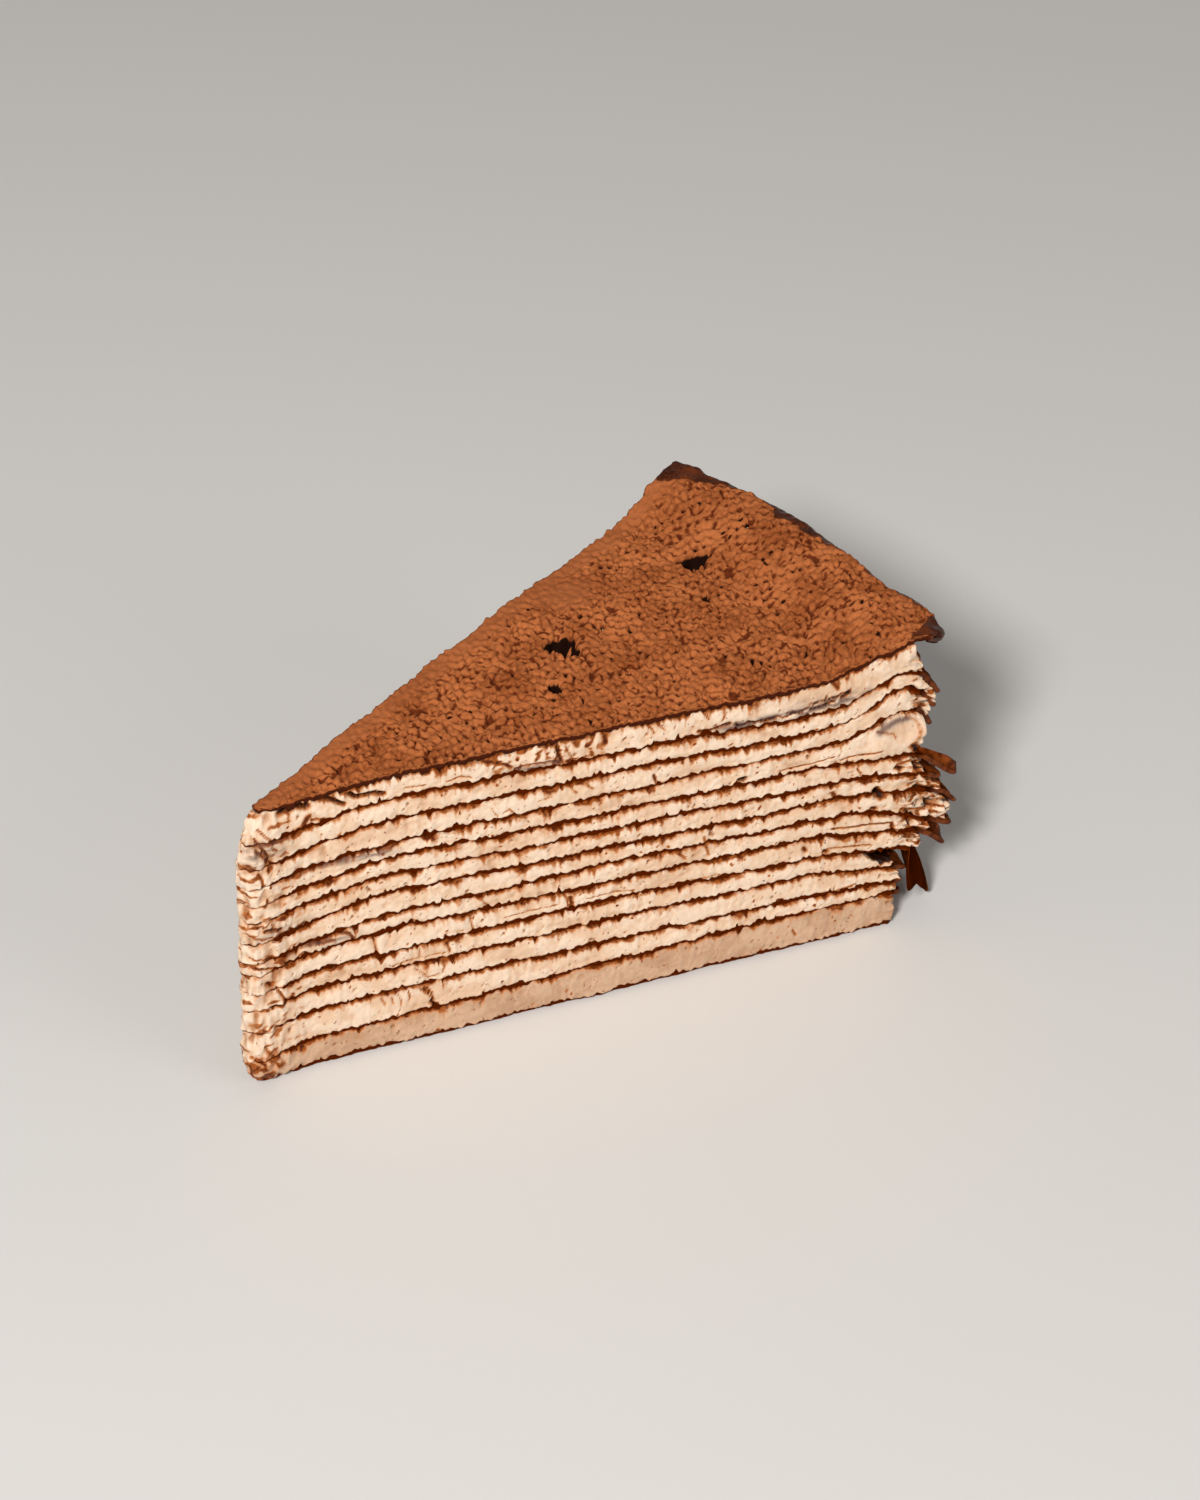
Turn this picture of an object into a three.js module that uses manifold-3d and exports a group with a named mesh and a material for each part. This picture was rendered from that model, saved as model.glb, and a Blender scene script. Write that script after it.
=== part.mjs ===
import * as THREE from 'three';
import { mergeVertices } from 'three/addons/utils/BufferGeometryUtils.js';
import Module from 'manifold-3d';

// A slice of chocolate mille crepe cake: fourteen crepes with thirteen layers of cream between them.
// Millimetres and degrees, +Z up. The tip points along -X and the rim is at +X.
// In what follows, the front is the cut face at -Y, and a distance is measured from the tip.
const WEDGE_ANGLE = 32.9;
const CREPE_THICKNESS = 0.7;
const TOP_CREPE_THICKNESS = 1.3;

// Height of the middle of each crepe over the rest face, lowest crepe first, at these distances.
const HEIGHT_AT = [ 4, 20, 50, 84, 98 ];
const CREPE_HEIGHTS = [
	[ 0.35, 0.35, 0.35, 0.35, 0.35 ],
	[ 5.1, 5.3, 6.0, 6.4, 6.2 ],
	[ 10.2, 10.7, 10.1, 9.2, 8.4 ],
	[ 14.2, 14.4, 14.2, 13.5, 11.1 ],
	[ 17.3, 17.8, 18.0, 16.7, 14.6 ],
	[ 20.6, 21.9, 21.2, 20.5, 17.8 ],
	[ 22.9, 24.8, 24.6, 23.6, 20.7 ],
	[ 26.2, 28.6, 27.6, 26.7, 25.0 ],
	[ 30.0, 31.7, 30.9, 29.9, 28.2 ],
	[ 32.9, 34.8, 33.9, 33.2, 31.8 ],
	[ 36.2, 37.4, 37.1, 37.0, 40.2 ],
	[ 39.3, 41.4, 40.9, 40.1, 44.2 ],
	[ 43.2, 45.0, 44.3, 43.0, 47.0 ],
	[ 47.9, 48.9, 48.6, 48.2, 52.4 ],
];

// At the back corner of the rim the crepes are evenly spaced below the top one.
const BACK_RIM_SPACING = 3.9;

// How much the crepes rise and fall from the front cut face to the one behind, and over what length.
const WAVE_HEIGHT = 0.3;
const WAVE_LENGTH = 69;

// The tip is a column of smeared cream. Rows: height, how far it reaches, its radius.
const TIP_COLUMN = [
	[ 0, - 1.0, 1.7 ],
	[ 4, - 2.2, 1.8 ],
	[ 20, - 1.8, 1.7 ],
	[ 40, - 1.6, 1.7 ],
	[ 45, - 0.9, 1.5 ],
	[ 47.6, 0.9, 0.9 ],
];

// Each crepe at the front corner of the rim: the radius where it leaves the cream,
// and how far its torn edge then reaches out and hangs down.
const FRONT_CORNER = [
	{ radius: 98, out: 0.3, down: 0 },
	{ radius: 99.5, out: 3, down: 0.5 },
	{ radius: 99.5, out: 0.6, down: 0.4 },
	{ radius: 101, out: 0.6, down: 0.5 },
	{ radius: 101.5, out: 1, down: 0.8 },
	{ radius: 102.5, out: 5.5, down: 6 },
	{ radius: 103.5, out: 3.5, down: 2.2 },
	{ radius: 103, out: 1, down: 0.8 },
	{ radius: 102, out: 1, down: 0.8 },
	{ radius: 101, out: 6, down: 5 },
	{ radius: 97, out: 5.5, down: 4 },
	{ radius: 96.5, out: 4.5, down: 2.4 },
	{ radius: 97, out: 5, down: 3 },
	{ radius: 98.5, out: 3.8, down: 0.4 },
];
const CORNER_ANGLE = 7;
const TORN_ANGLE = 4;

// Along the rest of the rim.
const RIM_RADIUS = 100.4;
const RIM_UNEVEN = 0.7;
const EDGE_OUT = [ 0.7, 2.2 ];
const EDGE_DOWN_SHARE = 0.55;

// The outline of the top crepe at the rim, from the front corner to the back one.
// Rows: degrees from the middle, radius.
const TOP_RIM = [
	[ - 16.45, 102.3 ],
	[ - 13, 103.2 ],
	[ - 10.6, 103.5 ],
	[ - 8.6, 100.9 ],
	[ - 5, 101.6 ],
	[ 0, 102.2 ],
	[ 8, 101.7 ],
	[ 13.8, 100.7 ],
	[ 16.45, 100.9 ],
];

// The cream bulges at the cut faces and draws back at the rim, apart from two places at the front corner:
// a swirl that was pressed out, and a gap where the crepes have parted.
const CUT_BULGE = 0.45;
const RIM_HOLLOW = 0.4;
const TIP_BULGE = 0.3;
const SWIRL = { cream: 9, out: 1.6, angle: 9 };
const GAP = { cream: 3, out: - 7, angle: 8 };

// Holes burst in the top crepe: place along and across the slice, size along and across, depth.
const HOLES = [
	{ x: 56, y: 4, long: 4.0, wide: 4.4, deep: 3 },
	{ x: 84.7, y: 9.8, long: 4.0, wide: 3.0, deep: 3 },
	{ x: 49, y: - 3.3, long: 2.2, wide: 2.4, deep: 2 },
];
const HOLE_SIDES = 7;

// The mesh of each layer: rows across the slice at these distances, with so many steps in each.
const ROWS = [ 4, 10, 17, 25, 34, 44, 52.5, 63, 73, 81, 88, 93 ];
const ROW_STEPS = [ 2, 2, 2, 2, 4, 4, 4, 4, 4, 6, 8, 8 ];
const TIP_STEPS = 4;
const RIM_STEPS = 16;
const TIP_SWEEP = 105;

const CREPE_COUNT = CREPE_HEIGHTS.length;
const TOP = CREPE_COUNT - 1;
const DEGREE = Math.PI / 180;
const HALF_ANGLE = WEDGE_ANGLE / 2 * DEGREE;

// A fixed number from 0 to 1 for each pair of whole numbers.
function draw( a, b ) {

	const value = Math.sin( a * 127.1 + b * 311.7 ) * 43758.5453;
	return value - Math.floor( value );

}

// The value at x on the line that eases from each given place to the next.
function along( places, values, x ) {

	let k = 0;
	while ( k < places.length - 2 && x > places[ k + 1 ] ) k ++;
	const share = THREE.MathUtils.smoothstep( x, places[ k ], places[ k + 1 ] );
	return THREE.MathUtils.lerp( values[ k ], values[ k + 1 ], share );

}

// From 0 at the front cut face to 1 at the one behind.
function across( angle ) {

	return ( angle + HALF_ANGLE ) / ( 2 * HALF_ANGLE );

}

// From 1 at the front corner of the rim to 0 at a given number of degrees from it.
function nearFrontCorner( angle, reach ) {

	return 1 - THREE.MathUtils.smoothstep( angle + HALF_ANGLE, 0, reach * DEGREE );

}

function thickness( crepe ) {

	return crepe === TOP ? TOP_CREPE_THICKNESS : CREPE_THICKNESS;

}

// Height of the middle of a crepe. The lowest one lies flat.
function crepeHeight( crepe, distance, angle ) {

	const heights = [ ...CREPE_HEIGHTS[ crepe ] ];
	if ( crepe === 0 ) return heights[ 0 ];
	const back = CREPE_HEIGHTS[ TOP ].at( - 1 ) - BACK_RIM_SPACING * ( TOP - crepe );
	heights.push( THREE.MathUtils.lerp( heights.pop(), back, across( angle ) ) );
	const phase = 2 * Math.PI * distance / WAVE_LENGTH + 1.7 * crepe;
	return along( HEIGHT_AT, heights, distance ) + across( angle ) * WAVE_HEIGHT * Math.sin( phase );

}

function rimRadius( crepe, step, angle ) {

	const usual = RIM_RADIUS + RIM_UNEVEN * ( 2 * draw( crepe, step ) - 1 );
	return THREE.MathUtils.lerp( usual, FRONT_CORNER[ crepe ].radius, nearFrontCorner( angle, CORNER_ANGLE ) );

}

// A face of a crepe, which is also a face of the cream that it lies on or under.
// Each row of points runs from the front cut face to the one behind. side is -1 below and 1 above.
function crepeFace( crepe, side ) {

	const lift = side * thickness( crepe ) / 2;
	const place = ( distance, angle ) => new THREE.Vector3(
		distance * Math.cos( angle ),
		distance * Math.sin( angle ),
		crepeHeight( crepe, distance, angle ) + lift,
	);

	const tipHeight = crepeHeight( crepe, 0, 0 );
	const [ heights, reaches, radii ] = [ 0, 1, 2 ].map( column => TIP_COLUMN.map( row => row[ column ] ) );
	const radius = along( heights, radii, tipHeight );
	const centre = along( heights, reaches, tipHeight ) + radius;
	const tip = Array.from( { length: TIP_STEPS + 1 }, ( _, step ) => {

		const turn = THREE.MathUtils.lerp( - TIP_SWEEP, TIP_SWEEP - 360, step / TIP_STEPS ) * DEGREE;
		const x = centre + radius * Math.cos( turn );
		return new THREE.Vector3( x, radius * Math.sin( turn ), tipHeight + lift );

	} );

	const rows = ROWS.map( ( distance, row ) => Array.from( { length: ROW_STEPS[ row ] + 1 }, ( _, step ) =>
		place( distance, THREE.MathUtils.lerp( - HALF_ANGLE, HALF_ANGLE, step / ROW_STEPS[ row ] ) ) ) );

	const rim = Array.from( { length: RIM_STEPS + 1 }, ( _, step ) => {

		const angle = THREE.MathUtils.lerp( - HALF_ANGLE, HALF_ANGLE, step / RIM_STEPS );
		return place( rimRadius( crepe, step, angle ), angle );

	} );

	return [ tip, ...rows, rim ];

}

// Triangles between two lines of point numbers that may have different lengths and may share points.
function zip( left, right ) {

	const triangles = [];
	let a = 0;
	let b = 0;
	while ( a < left.length - 1 || b < right.length - 1 ) {

		const nextLeft = ( a + 1 ) / ( left.length - 1 );
		const nextRight = ( b + 1 ) / ( right.length - 1 );
		const onRight = b < right.length - 1 && ( nextRight <= nextLeft || a === left.length - 1 );
		const corners = [ left[ a ], right[ b ], onRight ? right[ b + 1 ] : left[ a + 1 ] ];
		if ( new Set( corners ).size === 3 ) triangles.push( ...corners );
		if ( onRight ) b ++;
		else a ++;

	}

	return triangles;

}

// Every face has the same rows, so these point numbers serve for all of them.
const ROW_LENGTHS = [ TIP_STEPS, ...ROW_STEPS, RIM_STEPS ].map( steps => steps + 1 );
const FACE_ROWS = [];
for ( const length of ROW_LENGTHS ) {

	const first = FACE_ROWS.flat().length;
	FACE_ROWS.push( Array.from( { length }, ( _, k ) => first + k ) );

}

const FACE_POINTS = FACE_ROWS.flat().length;
const FACE_TRIANGLES = FACE_ROWS.slice( 1 ).flatMap( ( row, k ) => zip( FACE_ROWS[ k ], row ) );

// Once round the outline, seen from above: along the front, the rim and the back, and round the tip.
// Each entry has its point number, its way out, and its step and angle if it is on the rim.
// A corner of the rim comes twice, as the end of a cut face and as the end of the rim.
function outline() {

	const sides = FACE_ROWS.slice( 1 );
	const out = ( x, y ) => new THREE.Vector3( x, y, 0 );
	const front = out( - Math.sin( HALF_ANGLE ), - Math.cos( HALF_ANGLE ) );
	const back = out( - Math.sin( HALF_ANGLE ), Math.cos( HALF_ANGLE ) );
	const tip = FACE_ROWS[ 0 ].map( ( point, step ) => {

		const turn = THREE.MathUtils.lerp( - TIP_SWEEP, TIP_SWEEP - 360, step / TIP_STEPS ) * DEGREE;
		return { point, tip: true, out: out( Math.cos( turn ), Math.sin( turn ) ) };

	} );
	const rim = FACE_ROWS.at( - 1 ).map( ( point, step ) => {

		const angle = THREE.MathUtils.lerp( - HALF_ANGLE, HALF_ANGLE, step / RIM_STEPS );
		return { point, step, angle, out: out( Math.cos( angle ), Math.sin( angle ) ) };

	} );
	return [
		tip[ 0 ],
		...sides.map( row => ( { point: row[ 0 ], out: front } ) ),
		...rim,
		...sides.toReversed().map( row => ( { point: row.at( - 1 ), out: back } ) ),
		...tip.slice( 1 ).reverse(),
	];

}

const OUTLINE = outline();

// A closed layer between two faces. between( entry, low, high ) gives the points that its side has
// between the point low of the lower face and the point high of the upper one, from below.
function layer( lower, upper, between ) {

	const points = [ ...lower.flat(), ...upper.flat() ];
	const columns = OUTLINE.map( entry => {

		const added = between( entry, points[ entry.point ], points[ entry.point + FACE_POINTS ] );
		const first = points.length;
		points.push( ...added );
		return [ entry.point, ...added.map( ( _, k ) => first + k ), entry.point + FACE_POINTS ];

	} );

	const triangles = [];
	for ( let k = 0; k < FACE_TRIANGLES.length; k += 3 ) {

		const [ a, b, c ] = FACE_TRIANGLES.slice( k, k + 3 );
		triangles.push( a, c, b, a + FACE_POINTS, b + FACE_POINTS, c + FACE_POINTS );

	}

	columns.forEach( ( column, k ) => {

		triangles.push( ...zip( column, columns[ ( k + 1 ) % columns.length ] ) );

	} );

	const geometry = new THREE.BufferGeometry().setFromPoints( points );
	geometry.setIndex( triangles );
	geometry.computeVertexNormals();
	return geometry;

}

// A crepe's side is plain at the cut faces. At the rim its edge reaches past the cream and hangs,
// by less than the cream below it is thick.
function crepeEdge( crepe ) {

	const { out: cornerReach, down: cornerDrop } = FRONT_CORNER[ crepe ];
	return ( { step, angle, out }, low, high ) => {

		if ( angle === undefined ) return [];
		const distance = Math.hypot( low.x, low.y );
		const room = crepe === 0 ? 0 : EDGE_DOWN_SHARE
			* ( low.z - crepeHeight( crepe - 1, distance, angle ) - CREPE_THICKNESS / 2 );
		const usual = THREE.MathUtils.lerp( ...EDGE_OUT, draw( crepe + 40, step ) );
		const torn = nearFrontCorner( angle, TORN_ANGLE );
		const reach = crepe === TOP
			? along( TOP_RIM.map( row => row[ 0 ] ), TOP_RIM.map( row => row[ 1 ] ), angle / DEGREE ) - distance
			: THREE.MathUtils.lerp( usual, cornerReach, torn );
		const drop = THREE.MathUtils.lerp( Math.min( usual, room ), cornerDrop, torn );
		const edge = out.clone().multiplyScalar( reach ).setZ( - drop );
		return [ low.clone().add( edge ), high.clone().add( edge ) ];

	};

}

// The cream's side has one ring of points halfway up.
function creamSide( cream ) {

	return ( { tip, angle, out }, low, high ) => {

		let bulge = CUT_BULGE;
		if ( tip ) bulge = TIP_BULGE;
		if ( angle !== undefined ) bulge = - RIM_HOLLOW;
		for ( const place of [ SWIRL, GAP ] ) {

			if ( angle !== undefined && place.cream === cream ) {

				bulge = THREE.MathUtils.lerp( bulge, place.out, nearFrontCorner( angle, place.angle ) );

			}

		}

		return [ low.clone().lerp( high, 0.5 ).addScaledVector( out, bulge ) ];

	};

}

const wasm = await Module();
wasm.setup();

function toSolid( geometry ) {

	const plain = geometry.clone();
	plain.deleteAttribute( 'normal' );
	plain.deleteAttribute( 'uv' );
	const merged = mergeVertices( plain, 1e-5 );
	return new wasm.Manifold( new wasm.Mesh( {
		numProp: 3,
		vertProperties: new Float32Array( merged.attributes.position.array ),
		triVerts: new Uint32Array( merged.index.array ),
	} ) );

}

function toGeometry( solid ) {

	const mesh = solid.getMesh();
	const geometry = new THREE.BufferGeometry();
	geometry.setAttribute( 'position', new THREE.BufferAttribute( mesh.vertProperties, 3 ) );
	geometry.setIndex( new THREE.BufferAttribute( mesh.triVerts, 1 ) );
	geometry.computeVertexNormals();
	return geometry;

}

// An uneven plug that goes down through the top crepe into the cream.
function holePlug( { x, y, long, wide, deep }, number ) {

	const corners = Array.from( { length: HOLE_SIDES }, ( _, k ) => {

		const turn = 2 * Math.PI * k / HOLE_SIDES;
		const uneven = THREE.MathUtils.lerp( 0.75, 1.1, draw( number, k ) );
		return new THREE.Vector2( uneven * long / 2 * Math.cos( turn ), uneven * wide / 2 * Math.sin( turn ) );

	} );
	const above = 2;
	const plug = new THREE.ExtrudeGeometry( new THREE.Shape( corners ), {
		depth: deep + above,
		bevelEnabled: false,
	} );
	const top = crepeHeight( TOP, Math.hypot( x, y ), Math.atan2( y, x ) ) + TOP_CREPE_THICKNESS / 2;
	return plug.translate( x, y, top - deep );

}

function withHoles( geometry ) {

	const plugs = HOLES.map( ( hole, number ) => toSolid( holePlug( hole, number ) ) );
	return toGeometry( plugs.reduce( ( solid, plug ) => solid.subtract( plug ), toSolid( geometry ) ) );

}

function crepeMaterial( crepe ) {

	// The top crepe is dusted and browner than the cut edges of the others.
	return crepe === TOP
		? new THREE.MeshStandardMaterial( { color: 0x9d542a, roughness: 0.85, metalness: 0 } )
		: new THREE.MeshStandardMaterial( { color: 0x64290f, roughness: 0.55, metalness: 0 } );

}

function creamMaterial() {

	return new THREE.MeshStandardMaterial( { color: 0xe4b996, roughness: 0.45, metalness: 0 } );

}

function named( name, geometry, material ) {

	const mesh = new THREE.Mesh( geometry, material );
	mesh.name = name;
	return mesh;

}

const number = index => String( index ).padStart( 2, '0' );
const slice = new THREE.Group();
const lowerFaces = CREPE_HEIGHTS.map( ( _, crepe ) => crepeFace( crepe, - 1 ) );
const upperFaces = CREPE_HEIGHTS.map( ( _, crepe ) => crepeFace( crepe, 1 ) );

for ( let crepe = 0; crepe < CREPE_COUNT; crepe ++ ) {

	const whole = layer( lowerFaces[ crepe ], upperFaces[ crepe ], crepeEdge( crepe ) );
	const geometry = crepe === TOP ? withHoles( whole ) : whole;
	slice.add( named( `crepe_${ number( crepe ) }`, geometry, crepeMaterial( crepe ) ) );

}

for ( let cream = 0; cream < TOP; cream ++ ) {

	const whole = layer( upperFaces[ cream ], lowerFaces[ cream + 1 ], creamSide( cream ) );
	const geometry = cream === TOP - 1 ? withHoles( whole ) : whole;
	slice.add( named( `cream_${ number( cream ) }`, geometry, creamMaterial() ) );

}

// The origin is under the middle of the slice, on the surface that it rests on.
const box = new THREE.Box3().setFromObject( slice, true );
const middle = box.getCenter( new THREE.Vector3() );
slice.position.set( - middle.x, - middle.y, - box.min.z );

export default slice;
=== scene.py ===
# %% [markdown]
# # A slice of chocolate mille crepe cake
#
# The slice is fourteen thin crepes with thirteen layers of cream between them. A knife has cut two sides,
# and the third is the rim as it was baked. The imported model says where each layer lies. This lesson makes
# a finely detailed mesh for each layer in the same place, then finishes, stands and lights the slice.

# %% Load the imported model
import math

import bpy
import numpy as np
from mathutils import Matrix, Vector


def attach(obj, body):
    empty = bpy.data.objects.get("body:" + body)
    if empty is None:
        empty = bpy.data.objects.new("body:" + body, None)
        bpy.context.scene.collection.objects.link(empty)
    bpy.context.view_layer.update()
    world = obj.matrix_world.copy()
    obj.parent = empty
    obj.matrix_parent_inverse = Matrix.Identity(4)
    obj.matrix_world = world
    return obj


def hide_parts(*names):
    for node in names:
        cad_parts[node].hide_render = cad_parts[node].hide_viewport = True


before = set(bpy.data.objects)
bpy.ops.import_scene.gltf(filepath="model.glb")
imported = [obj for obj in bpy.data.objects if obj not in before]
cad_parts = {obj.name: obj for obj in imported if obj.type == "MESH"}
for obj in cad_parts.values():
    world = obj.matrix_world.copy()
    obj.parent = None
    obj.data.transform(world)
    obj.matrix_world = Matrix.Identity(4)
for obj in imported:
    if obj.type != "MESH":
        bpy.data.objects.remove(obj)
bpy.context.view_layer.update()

# %% [markdown]
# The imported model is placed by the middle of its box. A wedge is simplest to describe from its apex, where
# the two cut faces would meet, so everything below is worked out from there, in millimetres. The lowest
# crepe's nose is a known distance in front of the apex, and its vertex gives the place.

# %% Find the apex
MM = 0.001
NOSE = 1.026
lowest = np.array([vertex.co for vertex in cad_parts["crepe_00"].data.vertices]) / MM
nose = lowest[lowest[:, 0].argmin()]
APEX = np.array([nose[0] + NOSE, nose[1], 0.0])
print("apex, mm:", APEX.round(3))

# %% [markdown]
# These are the dimensions of the slice. The crepes aren't level: each has its own height at five distances
# from the apex. Crepe 0 lies on the floor and crepe 13 is the thicker top one. Behind the front cut they
# rise and fall a little, and at the back corner of the rim they are evenly spaced.

# %% The slice's dimensions
CAKE_RADIUS = 100
HALF = math.radians(32.9) / 2
TOP = 13
THICKNESS, TOP_THICKNESS = 0.62, 0.95
HEIGHT_AT = np.array([4, 20, 50, 84, 98.0])
CREPE_HEIGHTS = np.array([
    [0.35, 0.35, 0.35, 0.35, 0.35],
    [5.1, 5.3, 6.0, 6.4, 6.2],
    [10.2, 10.7, 10.1, 9.2, 8.4],
    [14.2, 14.4, 14.2, 13.5, 11.1],
    [17.3, 17.8, 18.0, 16.7, 14.6],
    [20.6, 21.9, 21.2, 20.5, 17.8],
    [22.9, 24.8, 24.6, 23.6, 20.7],
    [26.2, 28.6, 27.6, 26.7, 25.0],
    [30.0, 31.7, 30.9, 29.9, 28.2],
    [32.9, 34.8, 33.9, 33.2, 31.8],
    [36.2, 37.4, 37.1, 37.0, 40.2],
    [39.3, 41.4, 40.9, 40.1, 44.2],
    [43.2, 45.0, 44.3, 43.0, 47.0],
    [47.9, 48.9, 48.6, 48.2, 52.4],
])
# The upper face of the top crepe lies this far over its row of heights.
TOP_FACE = 0.65
# At the back corner of the rim: the height of the top crepe, and how far apart the crepes are.
BACK_RIM_HEIGHT, BACK_RIM_SPACING = 51.5, 3.83
WAVE_HEIGHT, WAVE_LENGTH = 0.3, 69

# The tip of each crepe: height, how far it reaches past the apex, radius.
TIP_COLUMN = np.array([
    [0, -1.0, 1.7], [4, -2.2, 1.8], [20, -1.8, 1.7], [40, -1.6, 1.7], [45, -0.9, 1.5], [47.6, 0.9, 0.9],
])
print(len(CREPE_HEIGHTS), "crepes,", round(CREPE_HEIGHTS[TOP].max() + TOP_FACE, 2), "mm high")

# %% [markdown]
# At the front corner of the rim the crepes are torn, and reach out and hang down. Each crepe has a row: its
# radius there, how many millimetres of the rim its torn piece takes, the radius that the cream above it
# reaches, and the line that the torn piece follows, distance and height in turn. One torn piece is a
# curtain: it hangs steeply and slants away from the cut.

# %% The rim and its torn corner
# Which crepe hangs as the curtain, and how far down.
CURTAIN, CURTAIN_DROP = 4, 8.1
TORN = [
    (98.0, 5, 98.4, [84, 0.35, 98.5, 0.35]),
    (98.6, 6, 98.9, [84, 6.4, 94, 6.2, 98, 6.2, 99.8, 5.6]),
    (98.2, 5, 98.6, [84, 9.2, 94, 8.8, 98, 8.4, 100, 7.6]),
    (97.8, 6, 97.6, [84, 13.5, 92, 12.0, 98, 11.2, 99.4, 10.8, 100.2, 9.9]),
    (100.5, 13, 101.6, [84, 16.7, 92, 15.6, 98, 14.7, 102, 13.5, 104.5, 11.6, 106.4, 9.4]),
    (101, 2.6, 102.6,
     [84, 20.5, 88, 19.6, 90, 19.1, 95.5, 18.6, 97.5, 17.9, 102, 17, 104, 15.6, 106.8, 12.6]),
    (102.5, 6, 106.0, [84, 23.6, 92, 23.0, 98, 21.0, 104, 18.6, 107.2, 16.6]),
    (102.5, 7, 104.0,
     [84, 26.7, 92, 26.6, 96.5, 25.4, 99, 25.4, 102, 24.6, 105, 23.5, 106.7, 22, 107.2, 20]),
    (102, 7, 101.4, [84, 29.9, 92, 29.5, 98, 28.4, 102, 27.5, 104.6, 25.6]),
    (100, 1.0, 100.4, [84, 33.2, 92, 32.5, 98, 32, 101, 31.2, 103, 29.3, 105, 27.5, 107.2, 25.8]),
    (99, 6, 100.7,
     [84, 37.0, 87, 36.9, 90, 37.6, 93, 38.9, 96, 40.2, 98, 40.5, 100, 39.5, 101.3, 37.9, 102.3, 35.2]),
    (99.5, 6, 101.8, [84, 40.3, 87, 40.2, 90, 40.9, 93, 42.6, 95, 44.1, 98, 44.3, 100, 43, 102.6, 39.2]),
    (99, 7, 99.8, [84, 43.0, 88, 43.4, 92, 45.2, 97, 47.2, 100, 46, 103, 41.4]),
    (100, 7, 0, [84, 48.2, 98, 52.4, 104, 52.2]),
]
# The top crepe's edge at the rim: degrees from the middle, radius, how far it hangs.
TOP_RIM = np.array([
    [-16.45, 101.8, 1.2], [-16.0, 102.9, 1.6], [-15.3, 103.4, 1.8], [-14.6, 103.2, 1.4],
    [-14.1, 103.0, 1.0], [-13.4, 103.6, 0.9], [-12.9, 103.4, 0.9], [-12.3, 102.6, 0.7], [-11.2, 103.4, 1.2],
    [-10.0, 102.2, 0.8], [-8.8, 100.7, 0.6], [-5, 100.8, 0.8], [0, 101.2, 1.0], [5, 101.5, 0.9],
    [13.8, 100.4, 0.6], [16.45, 100.7, 0.7],
])
# The rim of the other crepes where it isn't torn: its radius and unevenness, how far their edges reach out at
# least and at most, and how far these may hang, as a share of the distance to the crepe below.
RIM_RADIUS, RIM_UNEVEN, EDGE_OUT, EDGE_DOWN_SHARE = 100.4, 0.7, (0.7, 2.2), 0.55
print("torn pieces reach out to", max(row[3][-2] for row in TORN), "mm from the apex")

# %% [markdown]
# A few helpers turn those rows into smooth shapes. `draw` gives each crepe and step along the rim its own
# fixed number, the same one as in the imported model, so both have the same uneven rim.

# %% Easing and drawing
def ease(x, low, high):
    """From 0 at low to 1 at high, without a kink."""
    share = np.clip((x - low) / (high - low), 0, 1)
    return share * share * (3 - 2 * share)


def mix(a, b, share):
    return a + (b - a) * share


def eased(places, values, x):
    """The value at x on the line that eases from each given place to the next."""
    k = np.clip(np.searchsorted(places, x) - 1, 0, len(places) - 2)
    values = np.array(np.broadcast_arrays(*values, x)[:-1])
    before, after = (np.take_along_axis(values, index[None], 0)[0] for index in (k, k + 1))
    return mix(before, after, ease(x, places[k], places[k + 1]))


def rounded(x, places, values, by):
    """The value at x on the straight lines between the given places, with their corners rounded off."""
    return sum(np.interp(x + step, places, values) for step in (-by, 0, by)) / 3


def draw(a, b):
    return (math.sin(a * 127.1 + b * 311.7) * 43758.5453) % 1


print("draw:", round(draw(1, 2), 4), " eased:", eased(HEIGHT_AT, CREPE_HEIGHTS[1], np.array([35.0])).round(3))

# %% [markdown]
# Nothing on a cake is straight or even. Gradient noise gives bumps of a chosen size from any point in space,
# so neighbouring pieces that ask at the same point get the same answer and fit each other. Blender's own
# noise works one point at a time; this one works on whole arrays, which matters for a million points.

# %% Noise on arrays of points
def points_at(x, y, z=0.0):
    """One point for each x and y, at the height or heights z."""
    return np.stack(np.broadcast_arrays(x, y, z), -1)


def noise(points, size, seed):
    """Smooth values from about -1 to 1, with lumps about size mm apart. size may differ per axis."""
    place = points / size + 17.31 * seed
    cell = np.floor(place).astype(np.int64)
    part = place - cell
    fade = part**3 * (part * (part * 6 - 15) + 10)
    total = np.zeros(place.shape[:-1])
    for corner in np.ndindex(2, 2, 2):
        at = cell + corner
        code = (at @ [374761393, 668265263, 1274126177] + 974711 * seed) & 0xFFFFFFFF
        code = ((code ^ (code >> 13)) * 1103515245) & 0xFFFFFFFF
        code ^= code >> 16
        away = part - corner
        pull = sum((((code >> (8 * axis)) & 255) / 127.5 - 1) * away[..., axis] for axis in range(3))
        total += pull * np.prod(np.where(corner, fade, 1 - fade), axis=-1)
    return 1.7 * total


trial = noise(np.random.default_rng(1).uniform(0, 90, (4000, 3)), 2.0, 5)
print("noise: mean", trial.mean().round(3), "spread", trial.std().round(3), "greatest", trial.max().round(2))

# %% [markdown]
# The height of every crepe is a function of the place in plan, and the cream fills what is between two
# crepes. Near the front corner of the rim a crepe leaves its usual height and follows its torn line.

# %% Where the crepes lie
def polar(x, y):
    """Distance from the apex, and angle from the middle line."""
    return np.hypot(np.maximum(x, 0), y), np.clip(np.arctan2(y, np.maximum(x, 1)), -HALF, HALF)


def from_cut(angle):
    """Millimetres along the rim from the front cut."""
    return CAKE_RADIUS * (angle + HALF)


def at_front_cut(angle):
    return angle < -0.98 * HALF


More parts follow.
